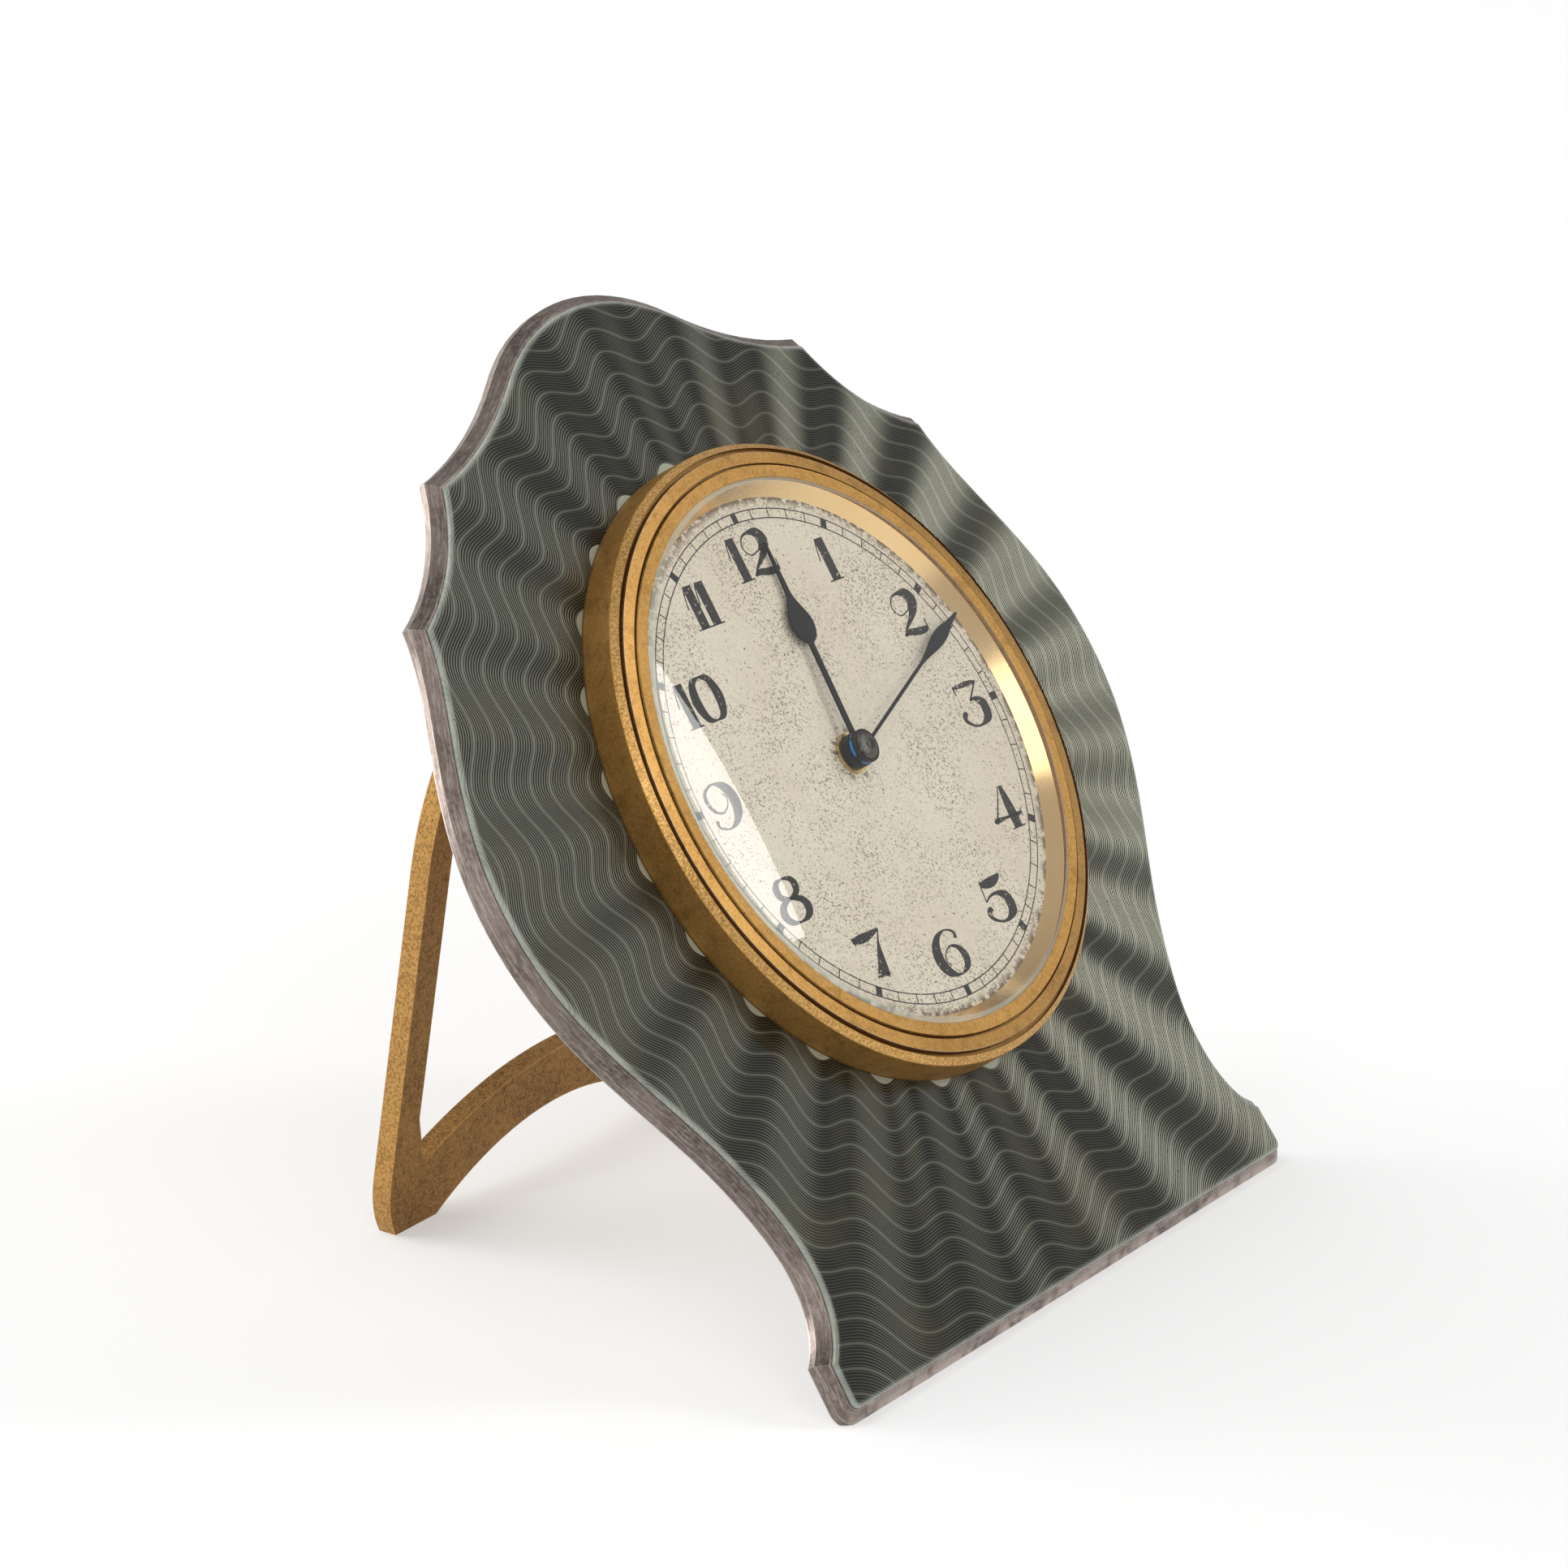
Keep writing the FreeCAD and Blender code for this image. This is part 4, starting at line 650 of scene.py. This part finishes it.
# Bezel turned from brass and fire gilt: straight wall, bright bevel, dark groove and two flat rings.
# The gilding is satin and grainy, and dirt has settled in the grooves.
bezel_wall_r = 27.35
bevel_in_r = 26.81
silver_line_r = 26.38
groove_in_r = 26.41
groove_out_r = 26.79
ring_gap_in_r = 25.19
ring_gap_out_r = 25.36


def bezel_gilding(here):
    _, _, out, radius, angle = here.plate_place()
    lathe = here.vector(radius * 0.03, angle * 0.25, out * 0.03).noise(1100, 2)
    grain = here.noise(5200, 2)
    cloud = here.noise(130, 4)
    wall = radius.clear(bezel_wall_r - 0.05, bezel_wall_r + 0.05)
    bevel = radius.clear(bevel_in_r - 0.03, bevel_in_r + 0.03) * (1 - wall)
    groove = radius.between(groove_in_r, groove_out_r, 0.03)
    gap = radius.between(ring_gap_in_r, ring_gap_out_r, 0.03)
    base = cloud.clear(0.2, 0.8).tint((0.36, 0.188, 0.047, 1), (0.48, 0.262, 0.074, 1))
    grained = (grain.clear(0.3, 0.75) * (0.30 + bevel * 0.6)).tint(base, (0.86, 0.54, 0.21, 1))
    from_line = here.maths("ABSOLUTE", radius - silver_line_r)
    silver = here.maths("MAXIMUM", 1 - from_line.clear(0.01, 0.045), gap * 0.3)
    lined = (silver * 0.45).tint(grained, (0.50, 0.46, 0.40, 1))
    smudge = here.noise(900, 5, 0.65).clear(0.50, 0.68) * 0.45 * (1 - bevel)
    smudged = smudge.tint(lined, (0.22, 0.115, 0.035, 1))
    dirt = here.maths("MAXIMUM", groove * 0.55, gap * 0.6)
    # Darker towards the bezel's foot, where it meets the plate; the groove and the ring gap are darker with
    # dirt
    foot = (1 - out.clear(0.4, 0.75)) * 0.8
    grooves_and_foot_darkened = here.maths("MAXIMUM", dirt, foot).tint(smudged, (0.13, 0.072, 0.03, 1))
    colour = here.specks(1300, 0.10).tint(grooves_and_foot_darkened, (0.13, 0.075, 0.035, 1))
    return {
        "Base Color": colour,
        "Roughness": 0.34 + lathe * 0.18 + dirt * 0.2 + wall * 0.16,
        "Normal": (lathe + grain * (0.3 + bevel)).relief(0.012, 0.6),
    }


dress(finish("bezel_gilding", bezel_gilding, Metallic=1.0), "bezel")

# Domed glass with a ground bevel round its edge, held in the bezel's lip.
# The ground edge is pale green and frosted.
ground_glass_r = 23.58
dome_pole = 6.6
dome_r = 160.5
ground_depth = 4.25


def empty_finish(name):
    material = bpy.data.materials.new(name)
    material.use_nodes = True
    tree = material.node_tree
    tree.nodes.clear()
    return material, Field(tree, tree.nodes.new("ShaderNodeTexCoord").outputs["Object"])


def show(shader):
    output = shader.tree.nodes.new("ShaderNodeOutputMaterial")
    shader.tree.links.new(shader.socket, output.inputs["Surface"])


glass_finish, glass_here = empty_finish("clock_glass")
_, _, glass_out, glass_radius, _ = glass_here.plate_place()
flattened = glass_out + glass_radius * glass_radius / (2 * dome_r)
outer_face = flattened.clear(dome_pole - 0.5, dome_pole - 0.3)
from_centre = glass_here.vector_maths("SUBTRACT", glass_here, on_plate(0, 0, dome_pole - dome_r))
dome_facing = glass_here.vector_maths("NORMALIZE", from_centre)
see_through = glass_here.make("ShaderNodeBsdfTransparent", {}, {"Color": (0.99, 0.99, 0.985, 1)})
gloss = glass_here.make("ShaderNodeBsdfGlossy", {}, {
    "Color": (1, 1, 1, 1), "Roughness": 0.0, "Normal": dome_facing})
grazing = glass_here.make("ShaderNodeLayerWeight", {}, {"Blend": 0.5}, "Facing")
shine = (0.04 + grazing ** 5 * 0.96) * (0.2 + outer_face * 0.9)
clear_glass = glass_here.make("ShaderNodeMixShader", {}, {0: shine, 1: see_through, 2: gloss})
frosted = glass_here.make("ShaderNodeBsdfPrincipled", {}, {
    "Base Color": (0.52, 0.57, 0.49, 1), "Roughness": 0.30, "Alpha": 0.42})
past_ground_r = glass_radius.clear(ground_glass_r - 0.05, ground_glass_r + 0.05)
ground_edge = past_ground_r * glass_out.clear(ground_depth - 0.1, ground_depth + 0.1)
show(glass_here.make("ShaderNodeMixShader", {}, {0: ground_edge, 1: clear_glass, 2: frosted}))
dress(glass_finish, "crystal")


# Strut and hinge leaf of cast and gilt brass, matt and grainy, rubbed bright at the edges, with a painted
# highlight on the faces that look sideways across the clock.
# The strut is one horseshoe frame with an arched foot rail.
def strut_gilding(here):
    grain = here.noise(4400, 3)
    coarse = here.noise(1500, 3)
    cloud = here.noise(120, 4)
    edge = here.worn_edge(0.3, 0.02, 0.16)
    # Painted highlight: faces turned sideways across the clock are painted bright gold, as if lit from the
    # side
    painted_side_light = here.maths("ABSOLUTE", here.facing().dot(across_dir)).clear(0.35, 0.8)
    base = cloud.clear(0.3, 0.7).tint((0.19, 0.098, 0.034, 1), (0.31, 0.165, 0.054, 1))
    grained = (grain.clear(0.40, 0.62) * 0.7).tint(base, (0.48, 0.28, 0.095, 1))
    browned = (coarse.clear(0.50, 0.68) * 0.5).tint(grained, (0.14, 0.068, 0.028, 1))
    # The bright gold mixes real wear at the edges with the painted side highlight
    wear_and_side_light = here.maths("MAXIMUM", edge * 0.55, painted_side_light * (0.3 + grain.clear(0.38, 0.60) * 0.55))
    rubbed = wear_and_side_light.tint(browned, (0.62, 0.36, 0.12, 1))
    colour = here.specks(900, 0.07).tint(rubbed, (0.04, 0.025, 0.018, 1))
    return {
        "Base Color": colour,
        "Roughness": 0.48 + grain * 0.18,
        "Normal": (grain * 0.8 + coarse * 0.6).relief(0.03, 0.6),
    }


dress(finish("strut_gilding", strut_gilding, Metallic=1.0), "strut", "hinge_leaf")

# White table of the studio, in a dim room that the gilding reflects. Six soft boxes stand round it:
# a tall window-like one in front at the right, which the glass reflects, and others at the right,
# above, low behind at the left, in front and straight behind.
floor_half = 4.0
floor_mesh = bpy.data.meshes.new("table")
floor_mesh.from_pydata([
    (-floor_half, -floor_half, 0), (floor_half, -floor_half, 0),
    (floor_half, floor_half, 0), (-floor_half, floor_half, 0)], [], [(0, 1, 2, 3)])
floor = bpy.data.objects.new("table", floor_mesh)
bpy.context.scene.collection.objects.link(floor)
table_glow_share = 0.4
table_finish, table_here = empty_finish("white_table")
lit_table = table_here.make("ShaderNodeBsdfDiffuse", {}, {"Color": (0.93, 0.93, 0.93, 1)})
own_white = table_here.make("ShaderNodeEmission", {}, {"Color": (1, 1, 1, 1), "Strength": 1.0})
seen_by = [table_here.make("ShaderNodeLightPath", {}, {}, ray)
           for ray in ("Is Camera Ray", "Is Glossy Ray", "Is Transmission Ray")]
seen = table_here.maths("MAXIMUM", table_here.maths("MAXIMUM", seen_by[0], seen_by[1]), seen_by[2])
show(table_here.make("ShaderNodeMixShader", {}, {
    0: seen * table_glow_share, 1: lit_table, 2: own_white}))
floor_mesh.materials.append(table_finish)


def soft_box(name, direction, distance, wide, high, watts):
    lamp_data = bpy.data.lights.new(name, "AREA")
    lamp_data.shape = "RECTANGLE"
    lamp_data.size = wide
    lamp_data.size_y = high
    lamp_data.energy = watts
    lamp = bpy.data.objects.new(name, lamp_data)
    way = Vector(direction).normalized()
    side = up_dir.cross(way).normalized()
    turn = Matrix((side, way.cross(side), way)).transposed()
    lamp.location = hub + way * distance
    lamp.rotation_euler = turn.to_euler()
    bpy.context.scene.collection.objects.link(lamp)


soft_box("window_box", (0.525, -0.645, 0.552), 2.4, 0.54, 1.0, 12)
soft_box("right_box", (0.72, 0.02, 0.69), 1.5, 0.6, 0.6, 0.9)
soft_box("top_box", (-0.40, 0.55, 0.80), 1.5, 1.0, 1.0, 8.0)
soft_box("left_box", (-0.38, 0.92, 0.11), 1.4, 0.7, 0.7, 11)
soft_box("front_box", (-0.45, -0.60, 0.66), 1.6, 0.9, 0.9, 4.9)
soft_box("back_box", (0.05, 0.93, 0.36), 1.6, 1.8, 0.7, 6.0)
room = bpy.data.worlds.new("dim_room")
room.use_nodes = True
room.node_tree.nodes["Background"].inputs["Color"].default_value = (1.0, 0.99, 0.975, 1)
room.node_tree.nodes["Background"].inputs["Strength"].default_value = 0.5
bpy.context.scene.world = room
bpy.context.scene.view_settings.view_transform = "Standard"
